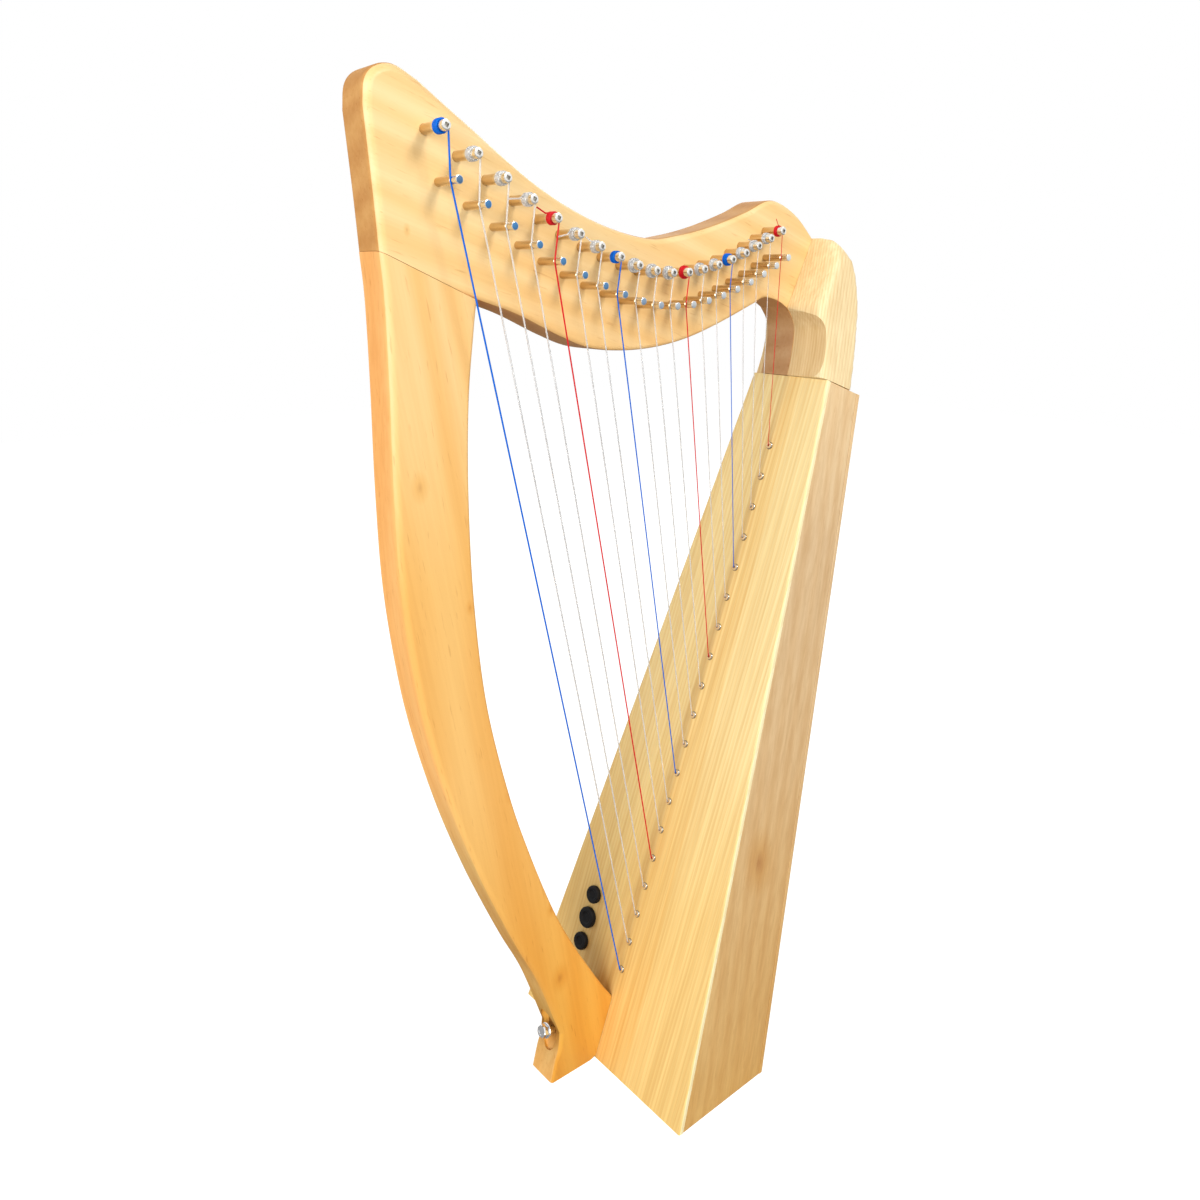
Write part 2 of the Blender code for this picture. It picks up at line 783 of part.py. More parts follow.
def beside(centre, radius, heading, y):
    # The point of a circle on the left of a heading; a negative radius is the right.
    return Vector((centre.x - radius * sin(heading), y, centre.z + radius * cos(heading)))


def string_line(index):
    # The knot under the rib, the eyelet, the bridge pin, then the turns round the
    # tuning pin, from the side of its tip towards the neck, and the tail.
    thin = string_diameter(index) / 2
    place = eyelet_places[index]
    knot_top = barrel_end + seat_gap
    line = [(on_board(place, knot_top + knot_height + 2 * thin), thin),
            (on_board(place, knot_top + 0.7 * knot_height), knot_radius),
            (on_board(place, knot_top + 0.3 * knot_height), knot_radius),
            (on_board(place, knot_top), thin)]
    bridge = bridge_pin_at(index)
    tuner = tuning_pin_at(index)
    bridge_radius = groove_radius + pin_gap + thin
    wound = winding_radius(index)
    mouth = on_board(place, -eyelet_height - 0.25 * eyelet_bend)
    corner = on_board(place, -eyelet_height - eyelet_bend)
    rising = touch_left(corner, bridge, bridge_radius)
    leaving = cross_heading(bridge, bridge_radius, tuner, wound)
    low_touch = beside(bridge, bridge_radius, rising, groove_y)
    high_touch = beside(bridge, bridge_radius, leaving, groove_y)
    after = corner + (low_touch - corner).normalized() * eyelet_bend
    for spot in (mouth, (mouth + 2 * corner + after) / 4, after, low_touch, high_touch):
        line.append((spot, thin))
    first_y = last_turn_y(index)
    lead = Vector((cos(leaving), 0, sin(leaving))) * string_lead
    line.append((beside(tuner, -wound, leaving, first_y) - lead, thin))
    angle, tail = long_tails.get(index + 1, plain_tail)
    pitch = 2 * thin + winding_gap
    start = leaving - pi / 2
    end = 2 * pi * whole_turns + radians(angle - tail_bend)
    count = round(winding_points * (end - start) / (2 * pi))
    for step in range(count + 1):
        turn = start + (end - start) * step / count
        y = first_y + pitch * (turn - start) / (2 * pi)
        line.append((Vector((tuner.x + wound * cos(turn), y, tuner.z + wound * sin(turn))), thin))
    for bend, reach in ((0.5, 1.2 * thin), (0.85, 3.2 * thin), (1.0, 3.2 * thin + tail)):
        turn = end + radians(tail_bend) * bend
        reach += wound
        line.append((Vector((tuner.x + reach * cos(turn), y, tuner.z + reach * sin(turn))), thin))
    return line


def add_tube(name, line):
    curve = bpy.data.curves.new(name, "CURVE")
    curve.dimensions = "3D"
    curve.bevel_depth = line[0][1]
    curve.bevel_resolution = 1
    curve.use_fill_caps = True
    spline = curve.splines.new("POLY")
    spline.points.add(len(line) - 1)
    for point, (spot, radius) in zip(spline.points, line):
        point.co = (*spot, 1.0)
        point.radius = radius / curve.bevel_depth
    return add_object(name, curve)


closest = 1.0
for index in range(string_count):
    line = string_line(index)
    wound_part = [spot for spot, radius in line[9:]]
    closest = min(closest, least_gap(wound_part, string_diameter(index)))
    string = add_tube("string_%02d" % (index + 1), line)
    if index % 7 == 0:
        finish(string, (0.02, 0.10, 0.75), 0.3)
    elif index % 7 == 4:
        finish(string, (0.75, 0.02, 0.02), 0.3)
    else:
        finish(string, (0.90, 0.90, 0.88), 0.3)
    speaking = (line[7][0] - line[6][0]).length
    print("string %d speaks over %.0f mm" % (index + 1, speaking * 1000))
print("least gap of a string's turns to each other: %.2f mm" % (closest * 1000))

# Foot bolt, its washer and the threaded insert in the base block
bolt_mesh = bmesh.new()
add_turned(bolt_mesh, [(bolt_head_apothem, 0, 6), (bolt_head_apothem, bolt_head_height, 6),
                       (bolt_radius, bolt_head_height), (bolt_radius, bolt_length)],
           12, bolt_start, into_box)
foot_bolt = add_object("foot_bolt", mesh_from(bolt_mesh, "foot_bolt"))
washer_mesh = bmesh.new()
washer_start = bolt_head_height + seat_gap
add_turned(washer_mesh, [(bolt_radius + pin_gap, washer_start),
                         (washer_radius, washer_start),
                         (washer_radius, washer_start + washer_thickness),
                         (bolt_radius + pin_gap, washer_start + washer_thickness)],
           round_sides, bolt_start, into_box, closed=True)
foot_washer = add_object("foot_washer", mesh_from(washer_mesh, "foot_washer"))
insert_mesh = bmesh.new()
insert_start = bolt_stand + board_thickness + seat_gap
add_turned(insert_mesh, [(bolt_radius + pin_gap, insert_start),
                         (insert_radius, insert_start),
                         (insert_radius, bolt_stand + insert_end),
                         (bolt_radius + pin_gap, bolt_stand + insert_end)],
           pin_sides, bolt_start, into_box, closed=True)
foot_insert = add_object("foot_insert", mesh_from(insert_mesh, "foot_insert"))
for piece in (foot_bolt, foot_washer, foot_insert):
    shade_round(piece.data)
    finish_steel(piece)
finish(foot_insert, (0.60, 0.40, 0.14), 0.35, 1.0)

# Control knobs on their spindles, and the potentiometers that hold them
pot_mesh = bmesh.new()
pot_top = board_thickness + seat_gap
spindle_end = spindle_length + seat_gap
for index, (place, radius) in enumerate(zip(knob_places, knob_radii)):
    knob_mesh = bmesh.new()
    add_turned(knob_mesh, [(spindle_radius, -spindle_length), (spindle_radius, knob_gap),
                           (radius, knob_gap), (radius, knob_height - knob_chamfer),
                           (radius - knob_chamfer, knob_height)],
               round_sides, Vector((0, 0, 0)), -into_box)
    name = "control_knob_%d" % (index + 1)
    knob = add_object(name, mesh_from(knob_mesh, name), on_board(place, 0, knob_side))
    shade_round(knob.data)
    finish_black(knob)
    add_turned(pot_mesh, [(spindle_radius + pin_gap, spindle_end),
                          (spindle_radius + pin_gap, pot_top),
                          (pot_radius, pot_top), (pot_radius, pot_top + pot_length)],
               round_sides, on_board(place, 0, knob_side), into_box)
plate_mesh = bmesh.new()
plate_top = pot_top + pot_length - seat_gap
plate_low = knob_places[0] - control_plate_margin
plate_high = knob_places[-1] + control_plate_margin
corners = [(plate_low, plate_top), (plate_high, plate_top),
           (plate_high, plate_top + control_plate_thickness),
           (plate_low, plate_top + control_plate_thickness)]
outline = [(on_board(place, depth).x, on_board(place, depth).z) for place, depth in corners]
add_prism(plate_mesh, outline, knob_side - control_plate_margin, knob_side + control_plate_margin)
control_board = add_object("control_board", mesh_from(plate_mesh, "control_board"))
join(control_board, pot_mesh, "potentiometers")
finish(control_board, (0.10, 0.22, 0.12), 0.5)
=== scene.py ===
import json
from math import asin, atan2, cos, pi, radians, sin

import bmesh
import bpy
from mathutils import Matrix, Vector


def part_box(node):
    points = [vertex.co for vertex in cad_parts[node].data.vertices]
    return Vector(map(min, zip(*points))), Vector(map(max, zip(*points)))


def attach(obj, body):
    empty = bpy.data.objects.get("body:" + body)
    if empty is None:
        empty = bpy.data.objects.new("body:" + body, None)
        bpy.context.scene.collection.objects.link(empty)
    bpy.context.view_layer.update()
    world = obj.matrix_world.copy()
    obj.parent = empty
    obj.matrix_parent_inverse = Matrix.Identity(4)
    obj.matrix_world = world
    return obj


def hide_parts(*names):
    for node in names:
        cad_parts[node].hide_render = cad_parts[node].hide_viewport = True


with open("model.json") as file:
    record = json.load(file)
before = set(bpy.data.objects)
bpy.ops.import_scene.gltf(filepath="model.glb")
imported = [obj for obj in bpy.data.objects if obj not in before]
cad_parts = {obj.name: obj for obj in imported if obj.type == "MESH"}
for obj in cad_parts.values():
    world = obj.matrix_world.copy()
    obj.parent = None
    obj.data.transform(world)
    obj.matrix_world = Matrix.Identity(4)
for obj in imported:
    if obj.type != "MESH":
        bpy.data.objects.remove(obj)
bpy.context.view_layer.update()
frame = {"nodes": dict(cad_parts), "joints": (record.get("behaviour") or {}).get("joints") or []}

print("lap harp: frame loaded,", len(frame["nodes"]), "nodes")

# All sizes are in metres. +Z is up, +X goes from the pillar to the soundbox, and -Y is
# the side with the strings. The origin is the middle of the soundbox's base.
harp = {
    "boardTilt": radians(70.57),
    "boardLength": 0.6116,
    "boardThickness": 0.004,
    "baseDepth": 0.102,
    "topDepth": 0.0452,
    "baseHalfWidth": 0.1059,
    "topHalfWidth": 0.0393,
    "sideThickness": 0.006,
    "backThickness": 0.004,
    "seatGap": 0.0003,   # between glued pieces
    "frontLip": 0.001,   # the leg and the block stand this far proud of the soundboard
    "neckNearY": 0.0018,
    "neckFarY": 0.0298,
    "edgeFacing": 0.45,   # faces of the neck and pillar that lean less to the side are edges
    "strings": 19,
    "firstEyelet": 0.0853,
    "lastEyelet": 0.5533,
    "ribThickness": 0.005,
}
tilt = harp["boardTilt"]
boardLength = harp["boardLength"]
gap = harp["seatGap"]
neckNear = harp["neckNearY"]
neckFar = harp["neckFarY"]
tiny = 1e-6

toe = Vector((-harp["baseDepth"] / 2, 0, 0))
upBoard = Vector((cos(tilt), 0, sin(tilt)))
intoBox = Vector((sin(tilt), 0, -cos(tilt)))
nearWay = Vector((0, -1, 0))


def onBoard(place, depth=0.0, y=0.0):
    return toe + upBoard * place + intoBox * depth + Vector((0, y, 0))


shoulder = onBoard(boardLength)
heelPlace = harp["baseDepth"] * cos(tilt)
heelDepth = harp["baseDepth"] * sin(tilt)
backSlope = (harp["topDepth"] - heelDepth) / (boardLength - heelPlace)
backStart = heelDepth - backSlope * heelPlace


def halfWidth(place):
    narrowing = harp["baseHalfWidth"] - harp["topHalfWidth"]
    return harp["baseHalfWidth"] - narrowing * place / boardLength


def alongRow(bass, treble, index):   # from the first string's value to the last one's
    share = index / (harp["strings"] - 1)
    return bass + (treble - bass) * share


def nearShoulder(points):   # points in millimetres from the top end of the soundboard
    return [Vector((shoulder.x + x / 1000, 0, shoulder.z + z / 1000)) for x, z in points]


def smoothLine(points, steps=8):
    knots = [Vector(p) for p in points]
    if len(knots) == 2:
        return knots
    knots.insert(0, 2 * knots[0] - knots[1])
    knots.append(2 * knots[-1] - knots[-2])
    line = []
    for a, b, c, d in zip(knots, knots[1:], knots[2:], knots[3:]):
        for step in range(steps):
            t = step / steps
            line.append(0.5 * (2 * b + (c - a) * t + (2 * a - 5 * b + 4 * c - d) * t * t
                               + (3 * b - a - 3 * c + d) * t * t * t))
    line.append(knots[-2])
    return line


def offsetFrom(radius, distance, steps):   # steps are pairs outward and along the axis
    return [(radius + outward, distance + along) for outward, along in steps]


def deselectAll():
    if bpy.context.mode != "OBJECT":
        bpy.ops.object.mode_set(mode="OBJECT")
    bpy.ops.object.select_all(action="DESELECT")


def makeActive(piece):
    deselectAll()
    piece.select_set(True)
    bpy.context.view_layer.objects.active = piece


def editAll():
    bpy.ops.object.mode_set(mode="EDIT")
    bpy.ops.mesh.select_all(action="SELECT")


def closeShell():   # all normals point outwards
    bpy.ops.mesh.select_all(action="SELECT")
    bpy.ops.mesh.normals_make_consistent(inside=False)
    bpy.ops.object.mode_set(mode="OBJECT")


def settlePlace():
    bpy.ops.object.transform_apply(location=True, rotation=True, scale=True)


def shapeFrom(add, scale, **settings):
    deselectAll()
    add(**settings)
    shape = bpy.context.object
    shape.scale = scale
    settlePlace()
    return shape


def finishWith(piece, kind, **settings):
    modifier = piece.modifiers.new(kind.lower(), kind)
    for setting, value in settings.items():
        setattr(modifier, setting, value)
    makeActive(piece)
    bpy.ops.object.modifier_apply(modifier=modifier.name)


def edgeKey(a, b):
    return frozenset(((round(a.x, 6), round(a.z, 6)), (round(b.x, 6), round(b.z, 6))))


def outlineOf(*runs):   # each run is its points, then how wide its edge is rounded, from and to
    outline = []
    widths = {}
    for points, *rounding in runs:
        line = smoothLine(points)
        for index, (a, b) in enumerate(zip(line, line[1:])):
            outline.append(a)
            if rounding:
                share = index / max(1, len(line) - 2)
                widths[edgeKey(a, b)] = rounding[0] + (rounding[-1] - rounding[0]) * share
    return outline, widths


def sawBoard(name, outline, nearY, farY):
    deselectAll()
    bpy.ops.mesh.primitive_circle_add(vertices=len(outline), fill_type="NGON")
    board = bpy.context.object
    board.name = name
    for vert, spot in zip(board.data.vertices, outline):
        vert.co = (spot.x, nearY, spot.z)
    editAll()
    bpy.ops.mesh.extrude_region_move(TRANSFORM_OT_translate={"value": (0, farY - nearY, 0)})
    closeShell()
    return board


def roundEdges(piece, wanted, width, segments=4):
    makeActive(piece)
    bpy.ops.object.mode_set(mode="EDIT")
    bpy.ops.mesh.select_mode(type="EDGE")
    bpy.ops.mesh.select_all(action="DESELECT")
    edit = bmesh.from_edit_mesh(piece.data)
    for edge in edit.edges:
        edge.select_set(wanted(edge.verts[0].co, edge.verts[1].co))
    bmesh.update_edit_mesh(piece.data)
    bpy.ops.mesh.bevel(offset=width, offset_type="OFFSET", segments=segments, profile=0.5,
                       affect="EDGES", clamp_overlap=True)
    bpy.ops.object.mode_set(mode="OBJECT")


def roundOutline(piece, widths, segments=6, farShare=0.35):   # the far edges are rounded less
    widest = max(widths.values())
    middle = (neckNear + neckFar) / 2
    weights = piece.data.attributes.new("bevel_weight_edge", "FLOAT", "EDGE")
    for edge in piece.data.edges:
        a, b = [piece.data.vertices[index].co for index in edge.vertices]
        if abs(a.y - b.y) < tiny:
            share = 1 if a.y < middle else farShare
            weights.data[edge.index].value = share * widths.get(edgeKey(a, b), 0) / widest
    finishWith(piece, "BEVEL", limit_method="WEIGHT", offset_type="OFFSET", width=widest,
               segments=segments, use_clamp_overlap=False)


def cutWith(piece, cutter, operation="DIFFERENCE"):
    finishWith(piece, "BOOLEAN", operation=operation, solver="EXACT", object=cutter)
    bpy.data.objects.remove(cutter)


def smoothPiece(piece, angle=35):
    makeActive(piece)
    bpy.ops.object.shade_smooth_by_angle(angle=radians(angle))
    finishWith(piece, "WEIGHTED_NORMAL", keep_sharp=True)


def turnPiece(name, profile, base, axis, sides=32):
    # Spins a section of (radius, distance along the axis) pairs round the axis.
    deselectAll()
    bpy.ops.mesh.primitive_circle_add(vertices=len(profile), fill_type="NOTHING")
    piece = bpy.context.object
    piece.name = name
    for vert, (radius, distance) in zip(piece.data.vertices, profile):
        vert.co = (radius, 0, distance)
    editAll()
    bpy.ops.mesh.spin(steps=sides, angle=2 * pi, center=(0, 0, 0), axis=(0, 0, 1))
    bpy.ops.mesh.select_all(action="SELECT")
    bpy.ops.mesh.remove_doubles(threshold=0.000005)
    bpy.ops.mesh.delete_loose(use_verts=True, use_edges=True, use_faces=False)
    closeShell()
    aimed = axis.to_track_quat("Z", "Y").to_matrix().to_4x4()
    piece.matrix_world = Matrix.Translation(base) @ aimed
    settlePlace()
    return piece


def joinPieces(pieces, name):
    deselectAll()
    for piece in pieces:
        piece.select_set(True)
    bpy.context.view_layer.objects.active = pieces[0]
    if len(pieces) > 1:
        bpy.ops.object.join()
    pieces[0].name = name
    return pieces[0]


def drill(piece, radius, start, end, places, way, sides):
    profile = [(0, start), (radius, start), (radius, end), (0, end)]
    holes = [turnPiece("hole", profile, place, way, sides) for place in places]
    cutWith(piece, joinPieces(holes, "holes"))


def copyPiece(piece, name, shift):
    makeActive(piece)
    bpy.ops.object.duplicate(linked=False)
    copied = bpy.context.object
    copied.name = name
    bpy.ops.transform.translate(value=shift)
    settlePlace()
    return copied


def copyRow(piece, nameStart, shifts):
    row = [piece]
    for number, shift in enumerate(shifts, 2):
        row.append(copyPiece(piece, nameStart + "%02d" % number, shift))
    return row


def dress(piece, material):
    piece.data.materials.clear()
    piece.data.materials.append(material)


def paintFaces(piece, material, wanted):
    piece.data.materials.append(material)
    for face in piece.data.polygons:
        if wanted(face):
            face.material_index = 1


def settle(piece, body, slotName, material, *nodes):
    dress(piece, material)
    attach(piece, body)
    if nodes:
        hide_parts(*nodes)


def fillSockets(tree, node, inputs):   # with plain values, or with the outputs of other nodes
    for name, value in inputs.items():
        if isinstance(value, bpy.types.NodeSocket):
            tree.links.new(value, node.inputs[name])
        else:
            node.inputs[name].default_value = value


def addNode(tree, kind, inputs=None, **settings):
    node = tree.nodes.new("ShaderNode" + kind)
    for setting, value in settings.items():
        setattr(node, setting, value)
    fillSockets(tree, node, inputs or {})
    return node


def newMaterial(name):
    material = bpy.data.materials.new(name)
    material.use_nodes = True
    return material, material.node_tree, material.node_tree.nodes["Principled BSDF"]


def spotOf(tree):
    return addNode(tree, "TexCoord").outputs["Object"]


def axisOf(tree, vector, axis):
    return addNode(tree, "SeparateXYZ", {"Vector": vector}).outputs[axis]


def noise(tree, vector, scale, detail=3, roughness=0.5):
    sockets = {"Vector": vector, "Scale": scale, "Detail": detail, "Roughness": roughness}
    return addNode(tree, "TexNoise", sockets).outputs["Fac"]


def measured(tree, value, low, high, toLow=0, toHigh=1):
    sockets = {"Value": value, "From Min": low, "From Max": high, "To Min": toLow, "To Max": toHigh}
    return addNode(tree, "MapRange", sockets).outputs["Result"]


def colorRamp(tree, value, stops):
    ramp = addNode(tree, "ValToRGB", {"Fac": value})
    elements = ramp.color_ramp.elements
    for index in (0, -1):
        elements[index].position = stops[index][0]
        elements[index].color = (*stops[index][1], 1)
    for position, color in stops[1:-1]:
        elements.new(position).color = (*color, 1)
    return ramp.outputs["Color"]


def bumpFrom(tree, height, strength, distance):
    sockets = {"Height": height, "Strength": strength, "Distance": distance}
    return addNode(tree, "Bump", sockets).outputs["Normal"]


# Camera and light
cameraLook = {
    "place": (-0.4839, -0.5389, 0.6596), "turn": (radians(71.375), 0, radians(-39.028)),
    "lens": 29.444, "sensor": 36, "nearest": 0.01,
}
deselectAll()
bpy.ops.object.camera_add(location=cameraLook["place"], rotation=cameraLook["turn"])
camera = bpy.context.object
camera.data.lens = cameraLook["lens"]
camera.data.sensor_width = cameraLook["sensor"]
camera.data.clip_start = cameraLook["nearest"]
bpy.context.scene.camera = camera

lampLook = {
    "aim": (0.0, 0.0, 0.4),
    "keyLamp": {"place": (0.5, -2.1, 2.1), "size": 0.7, "power": 33, "tint": (1.0, 0.99, 0.97)},
    "boardLamp": {"place": (-2.3, -1.1, 1.0), "size": 1.8, "power": 56, "tint": (1.0, 0.99, 0.97)},
    "rimLamp": {"place": (1.7, 1.5, 1.6), "size": 1.4, "power": 14, "tint": (1.0, 1.0, 1.0)},
}
for lampName in ("keyLamp", "boardLamp", "rimLamp"):
    look = lampLook[lampName]
    bpy.ops.object.light_add(type="AREA", location=look["place"])
    lamp = bpy.context.object
    lamp.name = lampName
    aim = Vector(lampLook["aim"]) - Vector(look["place"])
    lamp.rotation_euler = aim.to_track_quat("-Z", "Y").to_euler()
    lamp.data.size = look["size"]
    lamp.data.energy = look["power"]
    lamp.data.color = look["tint"]

worldLook = {"skyLevel": 0.44, "skyTint": (0.97, 0.98, 1.0, 1), "backdrop": (1, 1, 1, 1)}
world = bpy.data.worlds.new("studio")
bpy.context.scene.world = world
world.use_nodes = True
tree = world.node_tree
sky = tree.nodes["Background"]
fillSockets(tree, sky, {"Color": worldLook["skyTint"], "Strength": worldLook["skyLevel"]})
backdrop = addNode(tree, "Background", {"Color": worldLook["backdrop"], "Strength": 1})
rays = addNode(tree, "LightPath").outputs   # the camera, metal and glass see the backdrop
clearRay = addNode(tree, "Math", {0: rays["Is Camera Ray"], 1: rays["Is Transmission Ray"]},
                   operation="ADD")
seen = addNode(tree, "Math", {0: clearRay.outputs[0], 1: rays["Is Glossy Ray"]},
               operation="ADD", use_clamp=True)
blend = addNode(tree, "MixShader", {"Fac": seen.outputs[0], 1: sky.outputs[0],
                                    2: backdrop.outputs[0]})
fillSockets(tree, tree.nodes["World Output"], {"Surface": blend.outputs[0]})
bpy.context.scene.view_settings.view_transform = "Standard"

floorLook = {"size": 8, "albedo": (0.4, 0.4, 0.4, 1), "glow": 0.86, "roughness": 0.9}
deselectAll()
bpy.ops.mesh.primitive_plane_add(size=floorLook["size"], location=(0, 0, 0))
floor = bpy.context.object
floor.name = "floor"
floorPaint, tree, paint = newMaterial("floorPaint")
fillSockets(tree, paint, {"Base Color": floorLook["albedo"], "Roughness": floorLook["roughness"],
                          "Specular IOR Level": 0})
rays = addNode(tree, "LightPath").outputs
strength = addNode(tree, "Math", {0: rays["Is Camera Ray"], 1: floorLook["glow"]},
                   operation="MULTIPLY")
glow = addNode(tree, "Emission", {"Strength": strength.outputs[0]})
both = addNode(tree, "AddShader", {0: paint.outputs[0], 1: glow.outputs[0]})
fillSockets(tree, tree.nodes["Material Output"], {"Surface": both.outputs[0]})
floor.data.materials.append(floorPaint)
print("camera, light and floor are in place")

# Woods
white = (1, 1, 1)


def grainWood(name, look, **changes):
    # The grain runs along local Z. Rings round a far pith give the bands, and stretched
    # noise gives the fibres, flecks and patches.
    look = {**look, **changes}
    material, tree, shader = newMaterial(name)
    where = spotOf(tree)
    turned = addNode(tree, "Mapping", {
        "Vector": where, "Rotation": (0, radians(-look["lean"]), 0)}).outputs["Vector"]

    def stretched(along, shift=(0, 0, 0)):
        sockets = {"Vector": turned, "Scale": (1, 1, along), "Location": shift}
        return addNode(tree, "Mapping", sockets).outputs["Vector"]

    def tinted(base, amount, tint):
        sockets = {"Factor": amount, "A": base, "B": tint}
        mixed = addNode(tree, "Mix", sockets, data_type="RGBA", blend_type="MULTIPLY")
        return mixed.outputs["Result"]

    def ramped(value, stops, *tints):
        return colorRamp(tree, value, list(zip(look[stops], tints)))

    rings = addNode(tree, "TexWave", {
        "Vector": stretched(look["alongStretch"], look["pith"]),
        "Scale": look["waveRepeat"] / look["bandWidth"], "Distortion": look["figure"],
        "Detail": 2, "Detail Scale": look["figureScale"],
    }, wave_type="RINGS", rings_direction="Z", wave_profile=look["profile"])
    base = ramped(rings.outputs["Fac"], "bandStops", look["pale"], look["middle"], look["deep"])
    height = measured(tree, axisOf(tree, where, "Z"), 0, look["toneHeight"])
    base = tinted(base, 1, colorRamp(tree, height, look["tone"]))

    if "zones" in look:   # streaks at set shares of the half width, from the near edge to the far
        low = look["zoneStart"]
        width = measured(tree, axisOf(tree, turned, "Z"), low, boardLength + low,
                         harp["baseHalfWidth"], harp["topHalfWidth"])
        share = addNode(tree, "Math", {0: axisOf(tree, turned, "Y"), 1: width}, operation="DIVIDE")
        place = measured(tree, share.outputs[0], -1, 1)
        base = tinted(base, 1, colorRamp(tree, place, look["zones"]))

    patches = noise(tree, stretched(look["patchStretch"]), look["patchScale"])
    base = tinted(base, look["patchStrength"],
                  ramped(patches, "patchStops", white, look["patchTint"]))
    wide = noise(tree, stretched(look["wideStretch"]), look["lineScale"] * look["wideScale"],
                 roughness=look["lineRoughness"])
    base = tinted(base, look["lineStrength"] * look["wideStrength"],
                  ramped(wide, "lineStops", look["lineTint"], white))
    fibres = noise(tree, stretched(look["lineStretch"]), look["lineScale"], detail=4,
                   roughness=look["lineRoughness"])
    base = tinted(base, look["lineStrength"], ramped(fibres, "lineStops", look["lineTint"], white))
    flecks = noise(tree, stretched(look["fleckStretch"]), look["fleckScale"], detail=2)
    base = tinted(base, look["fleckStrength"],
                  ramped(flecks, "fleckStops", look["fleckTint"], white))

    flat = look["markShape"]
    for x, z, radius, strength in look["marks"]:   # small knots, seen on the near face
        away = addNode(tree, "Mapping", {
            "Vector": where, "Location": (-x, 0, -z * flat), "Scale": (1, 0, flat)})
        length = addNode(tree, "VectorMath", {0: away.outputs["Vector"]}, operation="LENGTH")
        ringed = measured(tree, length.outputs["Value"], 0, radius)
        base = tinted(base, strength, ramped(ringed, "markStops", look["fleckTint"],
                                             look["markTint"], white))

    fillSockets(tree, shader, {
        "Base Color": base, "Normal": bumpFrom(tree, fibres, look["bump"], look["bumpDepth"]),
        "Roughness": look["roughness"], "Specular IOR Level": look["sheen"],
        "Coat Weight": look["coat"], "Coat Roughness": look["coatRoughness"],
    })
    return material


mapleLook = {
    "pale": (0.97, 0.73, 0.38), "middle": (0.955, 0.69, 0.335), "deep": (0.93, 0.64, 0.285),
    "lean": 0, "profile": "SIN", "pith": (0.21, 0.16, 0), "bandWidth": 0.021, "figure": 8,
    "figureScale": 0.8, "alongStretch": 0.16, "waveRepeat": 0.314, "bandStops": (0, 0.45, 1),
    "tone": [(0, white), (1, white)], "toneHeight": 0.77,
    "patchScale": 6, "patchStretch": 0.3, "patchTint": (0.94, 0.85, 0.7), "patchStrength": 0.6,
    "patchStops": (0.32, 0.72), "lineStops": (0.4, 0.6), "fleckStops": (0.27, 0.36),
    "markStops": (0, 0.35, 1), "wideScale": 0.3, "wideStrength": 0.6, "lineRoughness": 0.6,
    "lineScale": 330, "lineStretch": 0.02, "wideStretch": 0.03, "lineTint": (0.84, 0.72, 0.56),
    "lineStrength": 0.18,
    "fleckScale": 520, "fleckStretch": 0.09, "fleckTint": (0.66, 0.44, 0.26), "fleckStrength": 0.36,
    "markTint": (0.9, 0.77, 0.56), "marks": [], "markShape": 0.6, "bump": 0.04,
    "bumpDepth": 0.0002, "roughness": 0.46, "coat": 0.12, "coatRoughness": 0.25, "sheen": 0.3,
}
neckWood = grainWood(
    "neckWood", mapleLook, lean=-72, tone=[(0.82, (1, 0.93, 0.86)), (0.9, white)],
    marks=[(-0.1892, 0.6811, 0.0026, 0.6)])
edgeLook = dict(mapleLook, lineStrength=0.3, coat=0.0, sheen=0.1, roughness=0.6)
# the neck's edge faces: a darker brown that is partly the end grain and partly painted shade on the
# less lit front, underside and arch, greyer low down
neckEdgeWoodAndShade = grainWood(
    "neckEdgeWoodAndShade", edgeLook, lean=-72,
    tone=[(0.79, (0.88, 1, 1)), (0.85, (1, 1, 0.67))],
    pale=(0.67, 0.37, 0.2), middle=(0.64, 0.34, 0.177), deep=(0.59, 0.3, 0.15))
pillarWood = grainWood(
    "pillarWood", mapleLook, lean=-9,
    pale=(0.96, 0.655, 0.3), middle=(0.945, 0.61, 0.255), deep=(0.915, 0.555, 0.205),
    tone=[(0.05, (0.86, 0.66, 0.24)), (0.21, (0.9, 0.7, 0.33)), (0.4, (0.97, 0.85, 0.6)),
          (0.6, (0.98, 0.9, 0.68)), (0.78, white)],
    marks=[(-0.1907, 0.5298, 0.007, 0.6), (-0.1584, 0.4433, 0.004, 0.6),
           (-0.1313, 0.291, 0.005, 0.5), (-0.096, 0.1742, 0.005, 0.7),
           (-0.0882, 0.1042, 0.01, 0.8)])
# the pillar's edge faces: a more orange wood, with painted shade in its tone that darkens the outer
# edge from just above the floor up past the waist, where it faces down and away from the light
pillarEdgeWoodAndShade = grainWood(
    "pillarEdgeWoodAndShade", edgeLook, lean=-9,
    pale=(0.97, 0.55, 0.2), middle=(0.965, 0.53, 0.185), deep=(0.94, 0.495, 0.162),
    tone=[(0, (0.94, 1, 1)), (0.03, (0.78, 0.85, 0.85)), (0.045, (0.55, 0.5, 0.35)),
          (0.062, (0.38, 0.31, 0.14)), (0.085, (0.62, 0.64, 0.45)), (0.13, (0.75, 0.8, 0.7)),
          (0.19, (0.65, 0.64, 0.49)), (0.31, (0.77, 0.85, 0.83)), (0.42, white),
          (0.78, (0.97, 0.92, 0.94))])
pineLook = dict(
    mapleLook, pale=(0.975, 0.865, 0.5), middle=(0.965, 0.83, 0.455), deep=(0.938, 0.762, 0.385),
    lean=19.43, profile="SAW", pith=(0.12, -0.34, 0), bandWidth=0.0037, figure=2.2,
    figureScale=0.35, alongStretch=0.012, patchTint=(0.97, 0.9, 0.78),
    lineScale=380, lineTint=(0.8, 0.66, 0.48), lineStrength=0.42,
    fleckStrength=0.12, fleckStretch=0.03)
